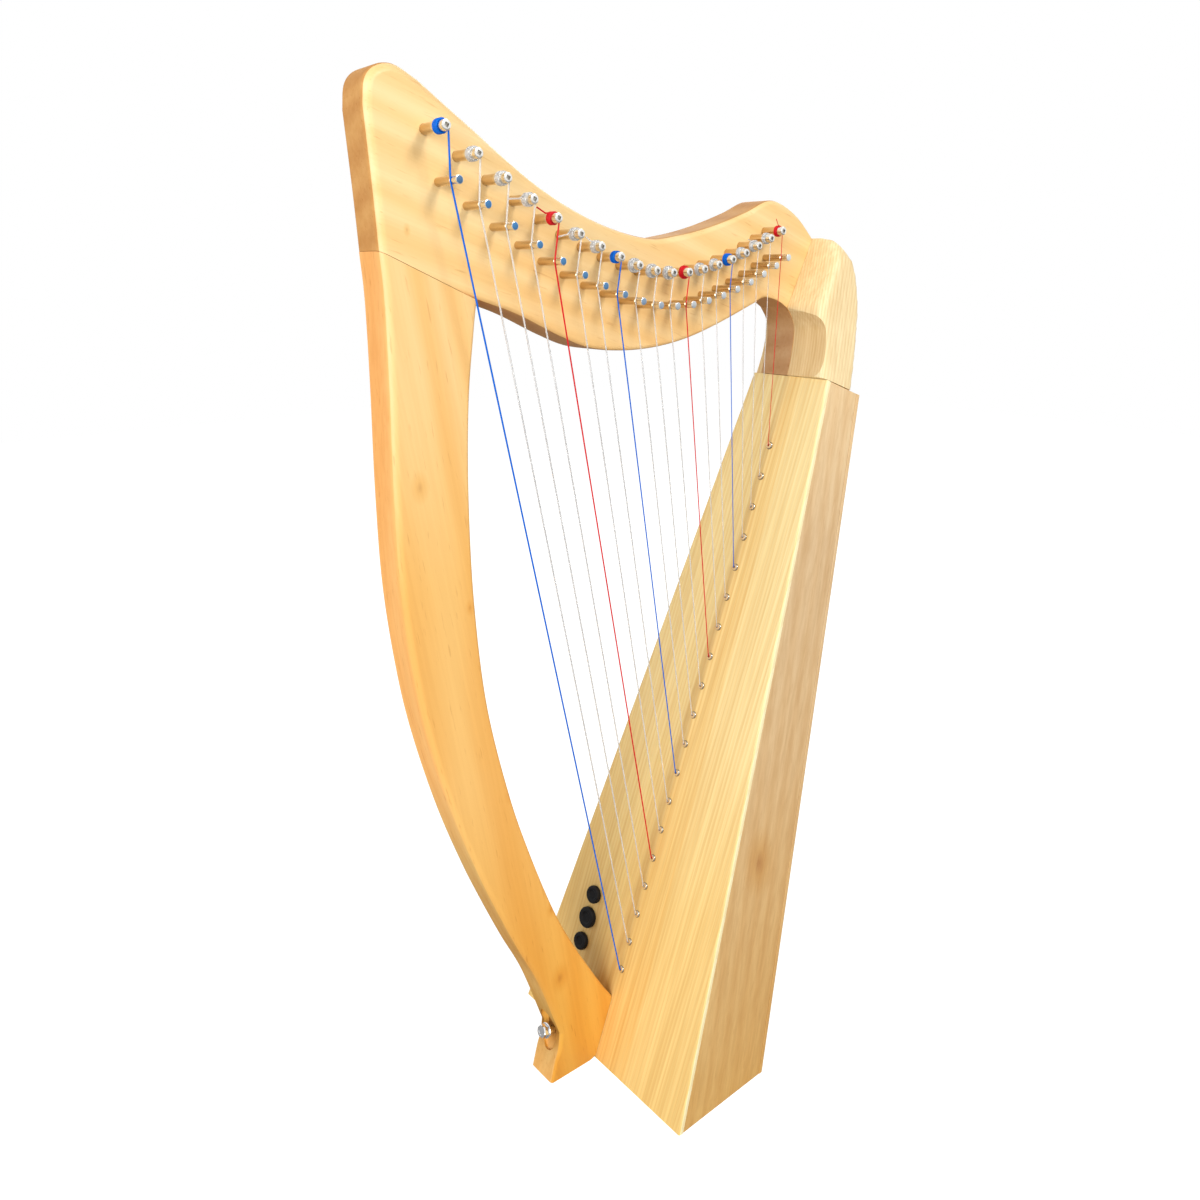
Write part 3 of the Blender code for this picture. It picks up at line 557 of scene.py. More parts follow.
boardPine = grainWood(
    "boardPine", pineLook, zoneStart=-0.017,
    tone=[(0, (0.97, 0.84, 0.62)), (0.2, (0.98, 0.87, 0.68)), (0.4, (1, 0.94, 0.86)),
          (0.85, white)],
    zones=[(0, white), (0.33, (1, 0.98, 0.95)), (0.347, (0.95, 0.83, 0.66)),
           (0.357, (0.97, 0.9, 0.8)), (0.4, (0.96, 0.87, 0.74)), (0.411, (0.93, 0.8, 0.62)),
           (0.422, (0.96, 0.87, 0.74)), (0.455, (0.97, 0.88, 0.76)), (0.47, (0.92, 0.79, 0.62)),
           (0.49, (0.95, 0.84, 0.7)), (0.515, (0.84, 0.73, 0.61)), (0.555, (0.85, 0.75, 0.63)),
           (0.575, (0.98, 0.94, 0.88)), (0.68, (0.96, 0.91, 0.82)), (0.7, (0.99, 0.96, 0.92)),
           (1, (0.97, 0.92, 0.85))])
blockLookPine = dict(
    pineLook, bandWidth=0.0022, figure=1.4, figureScale=0.5, alongStretch=0.06,
    lean=6, pith=(0.2, -0.42, 0), lineStrength=0.4, lineTint=(0.8, 0.67, 0.5),
    pale=(0.965, 0.835, 0.535), middle=(0.95, 0.8, 0.49), deep=(0.89, 0.69, 0.385))
blockPine = grainWood("blockPine", blockLookPine)
# painted shade: a darker, browner copy of the block's pine for the cove under the beak
coveShadePine = grainWood(
    "coveShadePine", blockLookPine,
    pale=(0.85, 0.665, 0.375), middle=(0.825, 0.63, 0.335), deep=(0.775, 0.545, 0.27))
sideLook = dict(
    mapleLook, pale=(0.94, 0.715, 0.415), middle=(0.925, 0.69, 0.39), deep=(0.89, 0.64, 0.345),
    lean=15, bandWidth=0.017, figure=6, figureScale=0.7, alongStretch=0.07,
    tone=[(0, (0.82, 0.68, 0.4)), (0.35, (0.82, 0.76, 0.7)), (0.58, (0.82, 0.79, 0.8)),
          (0.8, white)],
    lineStrength=0.4, lineTint=(0.8, 0.7, 0.58), fleckStrength=0.2,
    marks=[(0.0547, 0.1977, 0.02, 0.8)])
sideWood = grainWood("sideWood", sideLook)
boardEdgeWood = grainWood(
    "boardEdgeWood", pineLook, lineStrength=0.1,
    pale=(0.98, 0.9, 0.58), middle=(0.97, 0.88, 0.55), deep=(0.95, 0.83, 0.48))
innerWood = grainWood("innerWood", sideLook, coat=0.0, roughness=0.7, marks=[])


# Metals, nylon and plastic
def metal(name, look, **changes):
    # The color runs along one axis, so that a shaft carries a painted reflection of the wood beside
    # it, warm and darker towards the wood.
    look = {**look, **changes}
    material, tree, shader = newMaterial(name)
    where = spotOf(tree)
    share = measured(tree, axisOf(tree, where, look["along"]), look["start"], look["end"])
    wear = noise(tree, where, look["wearScale"], detail=4)
    fillSockets(tree, shader, {
        "Metallic": 1,
        "Base Color": colorRamp(tree, share, look["colors"]),
        "Roughness": measured(tree, wear, 0, 1, look["roughness"],
                              look["roughness"] + look["roughening"]),
        "Normal": bumpFrom(tree, wear, look["bump"], look["bumpDepth"]),
    })
    return material


def shaftColorsWithWoodReflection(bright, woodReflection):   # shares of the shaft where its bright steel end fades and its painted reflection of the wood starts
    return [(0, (0.86, 0.86, 0.84)), (bright, (0.8, 0.77, 0.7)), (woodReflection, (0.69, 0.53, 0.34)),
            (0.88, (0.61, 0.44, 0.25)), (1, (0.74, 0.72, 0.68))]


steelLook = {
    "along": "Y", "start": -0.025, "end": 0.005, "colors": shaftColorsWithWoodReflection(0.2, 0.29),
    "wearScale": 700, "roughness": 0.16, "roughening": 0.12, "bump": 0.03, "bumpDepth": 0.0001,
}
# the bridge and tuning pins' shafts carry a painted reflection of the wood, warm and darker towards
# it
bridgeSteel = metal("bridgeSteel", steelLook)
tunerSteel = metal("tunerSteel", steelLook, colors=shaftColorsWithWoodReflection(0.42, 0.52))
# painted reflection on the bridge pins' near ends: dark blue at the -X end of the row, pale at the
# +X end
pinEndReflection = metal(
    "pinEndReflection", steelLook, along="X", start=-0.18, end=0.13, roughness=0.3,
    colors=[(0, (0.12, 0.17, 0.24)), (0.12, (0.07, 0.22, 0.46)), (0.42, (0.12, 0.27, 0.48)),
            (0.62, (0.58, 0.62, 0.65)), (1, (0.78, 0.8, 0.8))])
# painted shade in the tuning pins' drive recess: a steel darker than the shaft's end
recessShadeSteel = metal(
    "recessShadeSteel", steelLook, roughness=0.35,
    colors=[(0, (0.6, 0.58, 0.54)), (1, (0.56, 0.54, 0.5))])
plainMetal = dict(steelLook, start=-0.2, end=0.2)
eyeletSteel = metal(
    "eyeletSteel", plainMetal, roughness=0.1,
    colors=[(0, (0.42, 0.4, 0.35)), (1, (0.42, 0.4, 0.35))])
boltChrome = metal(
    "boltChrome", plainMetal, roughness=0.06,
    colors=[(0, (0.82, 0.83, 0.85)), (1, (0.86, 0.87, 0.88))])
insertBrass = metal(
    "insertBrass", plainMetal, roughness=0.25,
    colors=[(0, (0.8, 0.6, 0.28)), (1, (0.8, 0.6, 0.28))])


def clouded(name, color, clearness, mottle, roughness, sheen=0.5, cloudScale=160):
    material, tree, shader = newMaterial(name)
    cloud = noise(tree, spotOf(tree), cloudScale)
    fillSockets(tree, shader, {
        "Transmission Weight": clearness,
        "Specular IOR Level": sheen,
        "Base Color": colorRamp(tree, cloud, [(0, [part * mottle for part in color]), (1, color)]),
        "Roughness": measured(tree, cloud, 0, 1, roughness, roughness + 0.1),
    })
    return material


blueNylon = clouded("blueNylon", (0.001, 0.15, 0.72), 0.05, 0.85, 0.35, 0.1)
redNylon = clouded("redNylon", (0.8, 0.006, 0.016), 0.15, 0.85, 0.35, 0.2)
clearNylon = clouded("clearNylon", (0.94, 0.94, 0.94), 0.62, 0.96, 0.12)
blackCap = clouded("blackCap", (0.008, 0.008, 0.009), 0.0, 0.6, 0.5, 0.2)
boardGreen = clouded("boardGreen", (0.03, 0.12, 0.05), 0.0, 0.7, 0.4)
print("finishes are mixed")

# Neck
neckLook = {
    "front": [(-359.6, 92.9), (-361.1, 126.2), (-363.6, 168.2)],
    "head": [(-363.6, 168.2), (-361.9, 180.2), (-356.9, 187.1), (-348.3, 190.6),
             (-339.8, 189.9), (-327.8, 184.3)],
    "top": [(-327.8, 184.3), (-298.9, 165.6), (-246.4, 132.8), (-199.7, 113.0),
            (-155.3, 103.5), (-124.1, 106.1), (-91.3, 112.9), (-57.1, 123.2),
            (-33.6, 132.0), (-16.4, 130.2), (3.3, 120.8), (20.2, 107.1)],
    "apex": (20.5, 107.1),
    "leg": [(2.2, 14.2), (4.2, 33.0), (2.1, 43.2)],
    "beak": (-5.8, 53.5),
    "arch": [(-14.6, 58.2), (-24.3, 61.0), (-33.6, 61.6), (-41.4, 58.3)],
    "under": [(-41.4, 58.3), (-79.2, 44.6), (-113.3, 34.6), (-146.1, 29.4), (-177.2, 28.6),
              (-206.8, 31.8), (-232.2, 40.7), (-265.6, 55.3), (-295.2, 64.8)],
    "legDepth": 0.02, "legTop": 0.0972, "edgeRound": 0.003, "headRound": 0.0056,
    "beakRound": 0.0002, "holeRadius": 0.00315, "holePast": 0.01,
}
beak, apex = nearShoulder([neckLook["beak"], neckLook["apex"]])
neckTop = nearShoulder(neckLook["top"])
neckFront = nearShoulder(neckLook["front"])
neckUnder = nearShoulder(neckLook["under"])
neckArch = nearShoulder(neckLook["arch"])
legCurve = nearShoulder(neckLook["leg"])
legFront = onBoard(boardLength + gap, -harp["frontLip"])
legBack = onBoard(boardLength + gap, neckLook["legDepth"])


def frontPlaneX(z):
    return beak.x + (apex.x - beak.x) * (z - beak.z) / (apex.z - beak.z)


def isEdgeFace(face):
    return abs(face.normal.y) < harp["edgeFacing"]


legJoinZ = shoulder.z + neckLook["legTop"]
legJoin = Vector((frontPlaneX(legJoinZ) - gap, 0, legJoinZ))
slim = neckLook["edgeRound"]
full = neckLook["headRound"]
outline, widths = outlineOf(
    (neckFront, full), (nearShoulder(neckLook["head"]), full), (neckTop, full, slim),
    ([neckTop[-1], legJoin],), ([legJoin, legBack],), ([legBack, legFront],),
    ([legFront] + legCurve + [beak],), ([beak] + neckArch, neckLook["beakRound"], slim),
    (neckUnder, slim), ([neckUnder[-1], neckFront[0]],))
neck = sawBoard("neck_board", outline, neckNear, neckFar)
roundOutline(neck, widths)

pinJoints = [joint for joint in frame["joints"] if joint["name"].startswith("tuning_pin")]
pinPlaces = [Vector((joint["pos_m"][0], 0, joint["pos_m"][2])) for joint in pinJoints]
past = neckLook["holePast"]
drill(neck, neckLook["holeRadius"], 0, neckFar - neckNear + 2 * past,
      [place + Vector((0, neckNear - past, 0)) for place in pinPlaces], -nearWay, sides=24)
smoothPiece(neck)
settle(neck, "root", "maple", neckWood, "neck")
# edge faces get the darker brown, partly painted shade
paintFaces(neck, neckEdgeWoodAndShade, isEdgeFace)
print("neck is sawn, rounded and drilled")

# Pillar
pillarLook = {
    "waist": (-0.0376, 0.046), "flare": 0.0104,
    "outer": [(0.1, 8.2), (0.17, 18.6), (0.24, 27.8), (0.31, 35.7), (0.4, 43.0),
              (0.5, 46.7), (0.58, 45.7), (0.68, 39.5), (0.78, 27.7), (0.88, 13.7),
              (0.957, 3.8)],
    "inner": [(0.04, 9.1), (0.13, 26.3), (0.21, 38.0), (0.32, 48.0), (0.42, 53.8),
              (0.55, 55.2), (0.68, 47.4), (0.8, 34.6), (0.9, 20.2), (0.97, 6.4)],
    "seatLow": 0.008, "seatHigh": 0.059, "cornerRound": 0.008, "cornerBow": 0.3,
    "edgeRound": 0.0025, "outerRound": 0.0052,
    "scoop": {"bulge": 0.006, "halfWidth": 0.01, "halfHeight": 0.0235, "depth": 0.0035},
}


def bowed(start, end, bows):   # (share of the way, millimetres off to -X)
    run = end - start
    across = Vector((-run.z, 0, run.x)).normalized()
    return [start] + [start + run * part + across * bow / 1000 for part, bow in bows] + [end]


seamRun = (neckUnder[-1] - neckFront[0]).normalized()
seamDrop = Vector((seamRun.z, 0, -seamRun.x)) * gap
frontTop = neckFront[0] + seamDrop
rearTop = neckUnder[-1] + seamDrop
waist = Vector((toe.x + pillarLook["waist"][0], 0, pillarLook["waist"][1]))
outerEdge = bowed(waist, frontTop, pillarLook["outer"])
outerEdge.reverse()
flare = pillarLook["flare"]
footEdge = [waist, Vector((waist.x - flare / 6, 0, waist.z * 2 / 3)),
            Vector((waist.x - flare / 2, 0, waist.z * 4 / 9)), Vector((waist.x - flare, 0, 0))]
seatStart = onBoard(pillarLook["seatLow"], -gap)
seatEnd = onBoard(pillarLook["seatHigh"], -gap)
corner = pillarLook["cornerRound"]
bow = pillarLook["cornerBow"]
footRear = Vector((seatStart.x - corner, 0, 0))
footCorner = [footRear, Vector((seatStart.x - bow * corner, 0, bow * seatStart.z)), seatStart]
innerEdge = bowed(seatEnd, rearTop, pillarLook["inner"])
slim = pillarLook["edgeRound"]
full = pillarLook["outerRound"]
outline, widths = outlineOf(
    (outerEdge, full), (footEdge, full, slim), ([footEdge[-1], footRear],), (footCorner,),
    ([seatStart, seatEnd],), (innerEdge, slim), ([rearTop, frontTop],))
pillar = sawBoard("pillar_board", outline, neckNear, neckFar)
roundOutline(pillar, widths)

boltLook = {
    "side": 0.0158, "place": 0.0272, "stand": 0.0604, "radius": 0.003, "holePlay": 0.0004,
    "holeLength": 0.12, "apothem": 0.005, "flats": 6, "height": 0.0045, "slack": 0.00001,
    "section": [(0, 0.0004), (0.0028, 0.0004), (0.0031, 0), (0.0046, 0), (0.0056, 0.0008),
                (0.0058, 0.0011), (0.0058, 0.0045), (0.003, 0.0045), (0.003, 0.085), (0, 0.085)],
    "washer": [(0.0033, 0.0048), (0.0062, 0.0048), (0.0065, 0.0051), (0.0065, 0.0059),
               (0.0062, 0.0062), (0.0033, 0.0062)],
}
scoop = pillarLook["scoop"]
scoopX = waist.x - scoop["bulge"] + scoop["depth"]
cutWith(pillar, shapeFrom(
    bpy.ops.mesh.primitive_uv_sphere_add, (scoop["bulge"], scoop["halfWidth"], scoop["halfHeight"]),
    segments=40, ring_count=24, radius=1, location=(scoopX, boltLook["side"], waist.z)))
boltStart = onBoard(boltLook["place"], -boltLook["stand"], boltLook["side"])
drill(pillar, boltLook["radius"] + boltLook["holePlay"], 0, boltLook["holeLength"],
      [boltStart], intoBox, sides=24)
smoothPiece(pillar)
settle(pillar, "root", "maple", pillarWood, "pillar")
# edge faces get the orange wood with its painted shade
paintFaces(pillar, pillarEdgeWoodAndShade, isEdgeFace)
print("pillar is sawn and hollowed for its bolt")

# Shoulder block
blockLook = {
    "back": [(34.6, 13.2), (37.6, 34.2), (39.1, 45.2), (39.6, 55.2), (37.6, 75.2),
             (32.6, 89.2), (26.6, 99.2), (21.4, 106.8)],
    "depth": 0.033, "topHalfWidth": 0.028, "capRound": 0.02, "capRise": 0.0022,
    "capDrop": 0.05,
    "rough": 0.06,   # how far the sawn blank and its cutters reach past the block
    "spare": 0.012, "voxel": 0.0011, "softening": 22, "arrisReach": 0.02,
    "arrisSoftening": 190, "coveSkew": 0.14, "coveFacing": 0.3, "coveDepth": 0.0006,
    "coveSlack": 0.04,
}
rough = blockLook["rough"]
skew = blockLook["coveSkew"]
blockFoot = boardLength - blockLook["spare"]
blockFront = onBoard(blockFoot, -harp["frontLip"])
blockBack = onBoard(blockFoot, blockLook["depth"])
backLine = [blockBack] + nearShoulder(blockLook["back"])
outline = outlineOf(([blockFront, beak],), ([beak, apex],), ([apex, backLine[-1]],),
                    (list(reversed(backLine)),), ([blockBack, blockFront],))[0]
block = sawBoard("shoulder_block_wood", outline, -rough, rough)
deselectAll()
bpy.ops.mesh.primitive_cube_add(size=2, location=shoulder)
cap = bpy.context.object
capBottom = shoulder.z - blockLook["capDrop"]
capTop = apex.z + blockLook["capRise"]
narrowing = (harp["topHalfWidth"] - blockLook["topHalfWidth"]) / (apex.z - shoulder.z)
for vert in cap.data.vertices:
    height = capTop if vert.co.z > 0 else capBottom
    width = harp["topHalfWidth"] - narrowing * (height - shoulder.z)
    vert.co = (2 * rough * vert.co.x, width * vert.co.y, height - shoulder.z)
settlePlace()
roundEdges(cap, lambda a, b: min(a.z, b.z) > shoulder.z and abs(a.y - b.y) < tiny,
           blockLook["capRound"], segments=12)
cutWith(block, cap, "INTERSECT")
finishWith(block, "REMESH", mode="VOXEL", voxel_size=blockLook["voxel"])
finishWith(block, "SMOOTH", factor=0.5, iterations=blockLook["softening"])


def blockFrontX(z):   # the front of the block's side view at a height
    line = [blockFront, beak, apex]
    for a, b in zip(line, line[1:]):
        if z <= b.z:
            return a.x + (b.x - a.x) * (z - a.z) / (b.z - a.z)
    return apex.x


arris = block.vertex_groups.new(name="arris")
for vert in block.data.vertices:   # the two front corners are rounded more than the rest
    width = harp["topHalfWidth"] - narrowing * (vert.co.z - shoulder.z)
    inward = max(vert.co.x - blockFrontX(vert.co.z), width - abs(vert.co.y))
    inward /= blockLook["arrisReach"]
    if inward < 1 and vert.co.z < apex.z:
        arris.add([vert.index], (1 - max(0, inward)) ** 0.5, "REPLACE")
finishWith(block, "SMOOTH", factor=0.5, iterations=blockLook["arrisSoftening"],
           vertex_group="arris")
block.vertex_groups.clear()
makeActive(block)
editAll()
bpy.ops.mesh.bisect(plane_co=onBoard(boardLength + gap), plane_no=upBoard,
                    use_fill=True, clear_inner=True)
bpy.ops.object.mode_set(mode="OBJECT")
cove = smoothLine([blockFront] + legCurve + [beak] + neckArch[:2])
coveEnd = cove[-1]
cove += [Vector((coveEnd.x - rough, 0, coveEnd.z)),
         Vector((coveEnd.x - rough, 0, blockFront.z - rough)),
         Vector((blockFront.x, 0, blockFront.z - rough))]
coveCutter = sawBoard("coveCutter", cove, -rough, rough)
for vert in coveCutter.data.vertices:   # the cove runs deeper on the far side
    vert.co.x += skew * vert.co.y
cutWith(block, coveCutter)
slotLean = (legJoin.x - legBack.x) / (legJoin.z - legBack.z)
slotTop = apex.z + rough
slot = [Vector((legBack.x + gap - slotLean * rough, 0, legBack.z - rough)),
        Vector((legBack.x + gap + slotLean * (slotTop - legBack.z), 0, slotTop)),
        Vector((beak.x - rough, 0, slotTop)), Vector((beak.x - rough, 0, legBack.z - rough))]
cutWith(block, sawBoard("slotCutter", slot, neckNear - gap, neckFar + gap))
smoothPiece(block)
settle(block, "root", "pine", blockPine, "shoulder_block")


def isCoveFace(face):
    if face.normal.x > -blockLook["coveFacing"] or face.center.z > beak.z:
        return False
    share = (beak.z - face.center.z) / (beak.z - blockFront.z)
    straight = beak.x + (blockFront.x - beak.x) * share
    leaning = abs(face.normal.y + skew * face.normal.x)
    return face.center.x > straight + blockLook["coveDepth"] and leaning < blockLook["coveSlack"]


# the cove faces get the painted shade
paintFaces(block, coveShadePine, isCoveFace)
print("shoulder block is shaped and slotted")

# Soundbox
boxLook = {
    "boardEdgeRound": 0.0018, "panelEdgeRound": 0.0007, "longEdge": 0.3, "faceSlack": 0.001,
    "eyeletHole": 0.0022, "eyeletHoleStart": 0.004, "eyeletHoleLength": 0.012,
    "handHole": 0.026, "handHolePlaces": (0.17, 0.31, 0.45), "handHoleReach": (-0.012, 0.008),
    "sideFacing": 0.8, "sidePast": 0.03,
}


def placeAtHeight(start, slope, height):
    rise = sin(tilt) - slope * cos(tilt)
    return (height + start * cos(tilt)) / rise


def boxPanel(name, front, back, near, far):
    # front and back are depth lines below the board's face, as (start, slope), and near and
    # far are the side that they lie on, -1 or 1, and how far inside the box's outer face.
    deselectAll()
    bpy.ops.mesh.primitive_cube_add(size=2)
    panel = bpy.context.object
    panel.name = name
    for vert in panel.data.vertices:
        start, slope = front if vert.co.x < 0 else back
        place = placeAtHeight(start, slope, 0) if vert.co.z < 0 else boardLength
        side, inset = near if vert.co.y < 0 else far
        vert.co = onBoard(place, start + slope * place, side * (halfWidth(place) - inset))
    return panel


def isLongEdge(a, b):
    return abs((a - b).dot(upBoard)) > boxLook["longEdge"]


def isLongFrontEdge(a, b):
    deepest = max((a - toe).dot(intoBox), (b - toe).dot(intoBox))
    return isLongEdge(a, b) and deepest < boxLook["faceSlack"]


boardBack = (harp["boardThickness"], 0)
sideFront = (harp["boardThickness"] + gap, 0)
sideBack = (backStart - harp["backThickness"] - gap, backSlope)
backInner = (backStart - harp["backThickness"], backSlope)
nearOuter = (-1, 0)
farOuter = (1, 0)
nearInner = (-1, harp["sideThickness"])
farInner = (1, harp["sideThickness"])

soundboard = boxPanel("soundboard_panel", (0, 0), boardBack, nearOuter, farOuter)
roundEdges(soundboard, isLongFrontEdge, boxLook["boardEdgeRound"], segments=5)
eyeletPlaces = [alongRow(harp["firstEyelet"], harp["lastEyelet"], index)
                for index in range(harp["strings"])]
drill(soundboard, boxLook["eyeletHole"], 0, boxLook["eyeletHoleLength"],
      [onBoard(place, -boxLook["eyeletHoleStart"]) for place in eyeletPlaces], intoBox, sides=20)
smoothPiece(soundboard)
settle(soundboard, "root", "pine", boardPine, "soundboard")
paintFaces(soundboard, boardEdgeWood, lambda face: abs(face.normal.y) > boxLook["sideFacing"]
           and abs(face.center.y) > boxLook["sidePast"])

for node, near, far in (("side_near", nearOuter, nearInner), ("side_far", farInner, farOuter)):
    side = boxPanel(node + "_panel", sideFront, sideBack, near, far)
    roundEdges(side, lambda a, b: True, boxLook["panelEdgeRound"], segments=3)
    smoothPiece(side)
    settle(side, "root", "side_wood", sideWood, node)

backPanel = boxPanel("back_panel_board", backInner, (backStart, backSlope), nearOuter, farOuter)
roundEdges(backPanel, isLongEdge, boxLook["panelEdgeRound"], segments=3)
backWay = Vector((cos(tilt) + backSlope * sin(tilt), 0,
                  sin(tilt) - backSlope * cos(tilt))).normalized()
backNormal = Vector((backWay.z, 0, -backWay.x))
drill(backPanel, boxLook["handHole"], *boxLook["handHoleReach"],
      [onBoard(place, backStart + backSlope * place) for place in boxLook["handHolePlaces"]],
      backNormal, sides=64)
smoothPiece(backPanel)
settle(backPanel, "root", "side_wood", sideWood, "back_panel")
print("soundbox is closed")

# Inside pieces keep their CAD shape
for nodeName, material in (("base_block", innerWood), ("top_block", innerWood),
                           ("string_rib", innerWood), ("foot_insert", insertBrass),
                           ("control_board", boardGreen)):
    dress(frame["nodes"][nodeName], material)

# Eyelets stand in the string rib and through the soundboard
eyeletLook = {
    "height": 0.002, "barrel": 0.0019, "bore": 0.0015, "past": 0.0004, "seat": 0.0003,
    "mouth": [(0, -0.0012), (0.0002, -0.0017)],
    "rim": [(0.0019, -0.002), (0.0024, -0.0018), (0.0029, -0.0012), (0.00315, -0.0006),
            (0.00315, -0.0003)],
}
bore = eyeletLook["bore"]
barrel = eyeletLook["barrel"]
barrelEnd = harp["boardThickness"] + gap + harp["ribThickness"] + eyeletLook["past"]
eyeletProfile = [(bore, barrelEnd), *offsetFrom(bore, 0, eyeletLook["mouth"]), *eyeletLook["rim"],
                 (barrel, -eyeletLook["seat"]), (barrel, barrelEnd)]
eyelet = turnPiece("string_eyelet_01", eyeletProfile, onBoard(eyeletPlaces[0]), intoBox, sides=28)
smoothPiece(eyelet)
eyelets = copyRow(eyelet, "string_eyelet_",
                  [upBoard * (place - eyeletPlaces[0]) for place in eyeletPlaces[1:]])
for eyelet in eyelets:
    settle(eyelet, "root", "steel", eyeletSteel)
print("eyelets are pressed in")

# Bridge pins
pinLook = {
    "bridgeRadius": 0.00255, "bridgeReach": 0.0244, "bridgeHold": 0.005, "groovePlace": 0.75,
    "grooveRadius": 0.0018, "rises": (0.0274, 0.0223, 0.0188), "leans": (-0.0072, -0.0018),
    "leanFade": 8, "bridgeTip": [(-0.0004, 0), (-0.0001, 0.00015), (0, 0.0004)],
    "grooveIn": [(0, -0.0012), (-0.0003, -0.0008)], "grooveOut": [(-0.0003, 0.0008), (0, 0.0012)],
    "grooveHalf": 0.0003, "faceSlack": 0.0001, "faceFacing": 0.9,
    "tunerRadius": 0.00305, "tunerLength": 0.066, "driveLength": 0.012, "driveHalf": 0.0021,
    "tunerTip": [(-0.0009, 0), (-0.0003, 0.0002), (0, 0.0008)], "tunerChamfer": 0.0005,
    "driveOverlap": 0.0002, "driveRound": 0.0003,
    "holeRadius": 0.0009, "holeLength": 0.02, "holeSetback": 0.003, "windingSetback": 0.004,
    "recess": 0.0025, "recessDepth": 0.0019, "recessTurn": 25, "recessFaces": (0.0001, 0.0025),
    "recessShare": 0.7,
}
bridgePlaces = []
bassRise, middleRise, trebleRise = pinLook["rises"]
bassLean, trebleLean = pinLook["leans"]
for index, place in enumerate(pinPlaces):
    share = index / (harp["strings"] - 1)
    if share < 0.5:
        rise = bassRise + (middleRise - bassRise) * 2 * share
    else:
        rise = middleRise + (trebleRise - middleRise) * (2 * share - 1)
    lean = trebleLean + (bassLean - trebleLean) * (1 - share) ** pinLook["leanFade"]
    bridgePlaces.append(place - Vector((lean, 0, rise)))
reach = pinLook["bridgeReach"]
radius = pinLook["bridgeRadius"]
grooveFloor = pinLook["grooveRadius"]
groove = reach * (1 - pinLook["groovePlace"])
grooveY = neckNear - reach * pinLook["groovePlace"]
shankEnd = reach + pinLook["bridgeHold"]
bridgeProfile = [(0, 0), *offsetFrom(radius, 0, pinLook["bridgeTip"]),
                 *offsetFrom(radius, groove, pinLook["grooveIn"]),
                 (grooveFloor, groove - pinLook["grooveHalf"]),
                 (grooveFloor, groove + pinLook["grooveHalf"]),
                 *offsetFrom(radius, groove, pinLook["grooveOut"]),
                 (radius, shankEnd), (0, shankEnd)]
bridgeTipY = neckNear - reach
bridgeStart = bridgePlaces[0] + Vector((0, bridgeTipY, 0))
firstBridge = turnPiece("bridge_pin_01", bridgeProfile, bridgeStart, -nearWay)
smoothPiece(firstBridge)


def isPinEnd(face):
    return (face.normal.y < -pinLook["faceFacing"]
            and face.center.y < bridgeTipY + pinLook["faceSlack"])


for pin in copyRow(firstBridge, "bridge_pin_",
                   [place - bridgePlaces[0] for place in bridgePlaces[1:]]):
    settle(pin, "root", "steel", bridgeSteel)
    # the near end takes the painted reflection
    paintFaces(pin, pinEndReflection, isPinEnd)
print("bridge pins are driven in")

# Tuning pins
radius = pinLook["tunerRadius"]
length = pinLook["tunerLength"]
drive = length - pinLook["driveLength"]
chamfer = pinLook["tunerChamfer"]
tunerProfile = [(0, 0), *offsetFrom(radius, 0, pinLook["tunerTip"]), (radius, drive - chamfer),
                (radius - chamfer, drive), (0, drive)]
tuner = turnPiece("tuner", tunerProfile, Vector((0, 0, 0)), -nearWay, sides=40)
cutWith(tuner, shapeFrom(
    bpy.ops.mesh.primitive_cylinder_add, (1, 1, 1), vertices=16, radius=pinLook["holeRadius"],
    depth=pinLook["holeLength"], location=(0, pinLook["holeSetback"], 0)))
recess = pinLook["recess"]
cutWith(tuner, shapeFrom(
    bpy.ops.mesh.primitive_cube_add, (recess, 2 * pinLook["recessDepth"], recess),
    size=1, rotation=(0, radians(pinLook["recessTurn"]), 0)))
half = pinLook["driveHalf"]
square = shapeFrom(
    bpy.ops.mesh.primitive_cube_add,
    (2 * half, pinLook["driveLength"] + pinLook["driveOverlap"], 2 * half),
    size=1, location=(0, (drive + length) / 2, 0))
roundEdges(square, lambda a, b: True, pinLook["driveRound"], segments=3)
tuner = joinPieces([tuner, square], "tuner")
smoothPiece(tuner)


def tunerTipY(number):
    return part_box("tuning_pin_" + number)[0].y


def isInRecess(spot):   # measured from the middle of the pin's near end
    nearest, deepest = pinLook["recessFaces"]
    widest = recess * pinLook["recessShare"]
    return nearest < spot.y < deepest and max(abs(spot.x), abs(spot.z)) < widest


for index, place in enumerate(pinPlaces):
    number = "%02d" % (index + 1)
    tip = place + Vector((0, tunerTipY(number), 0))
    pin = copyPiece(tuner, "tuner_" + number, tip)
    settle(pin, "tuning_pin_" + number, "steel", tunerSteel, "tuning_pin_" + number)
    # the drive recess gets the darker steel of its painted shade
    paintFaces(pin, recessShadeSteel, lambda face: isInRecess(face.center - tip))
bpy.data.objects.remove(tuner)
print("tuning pins are fitted")

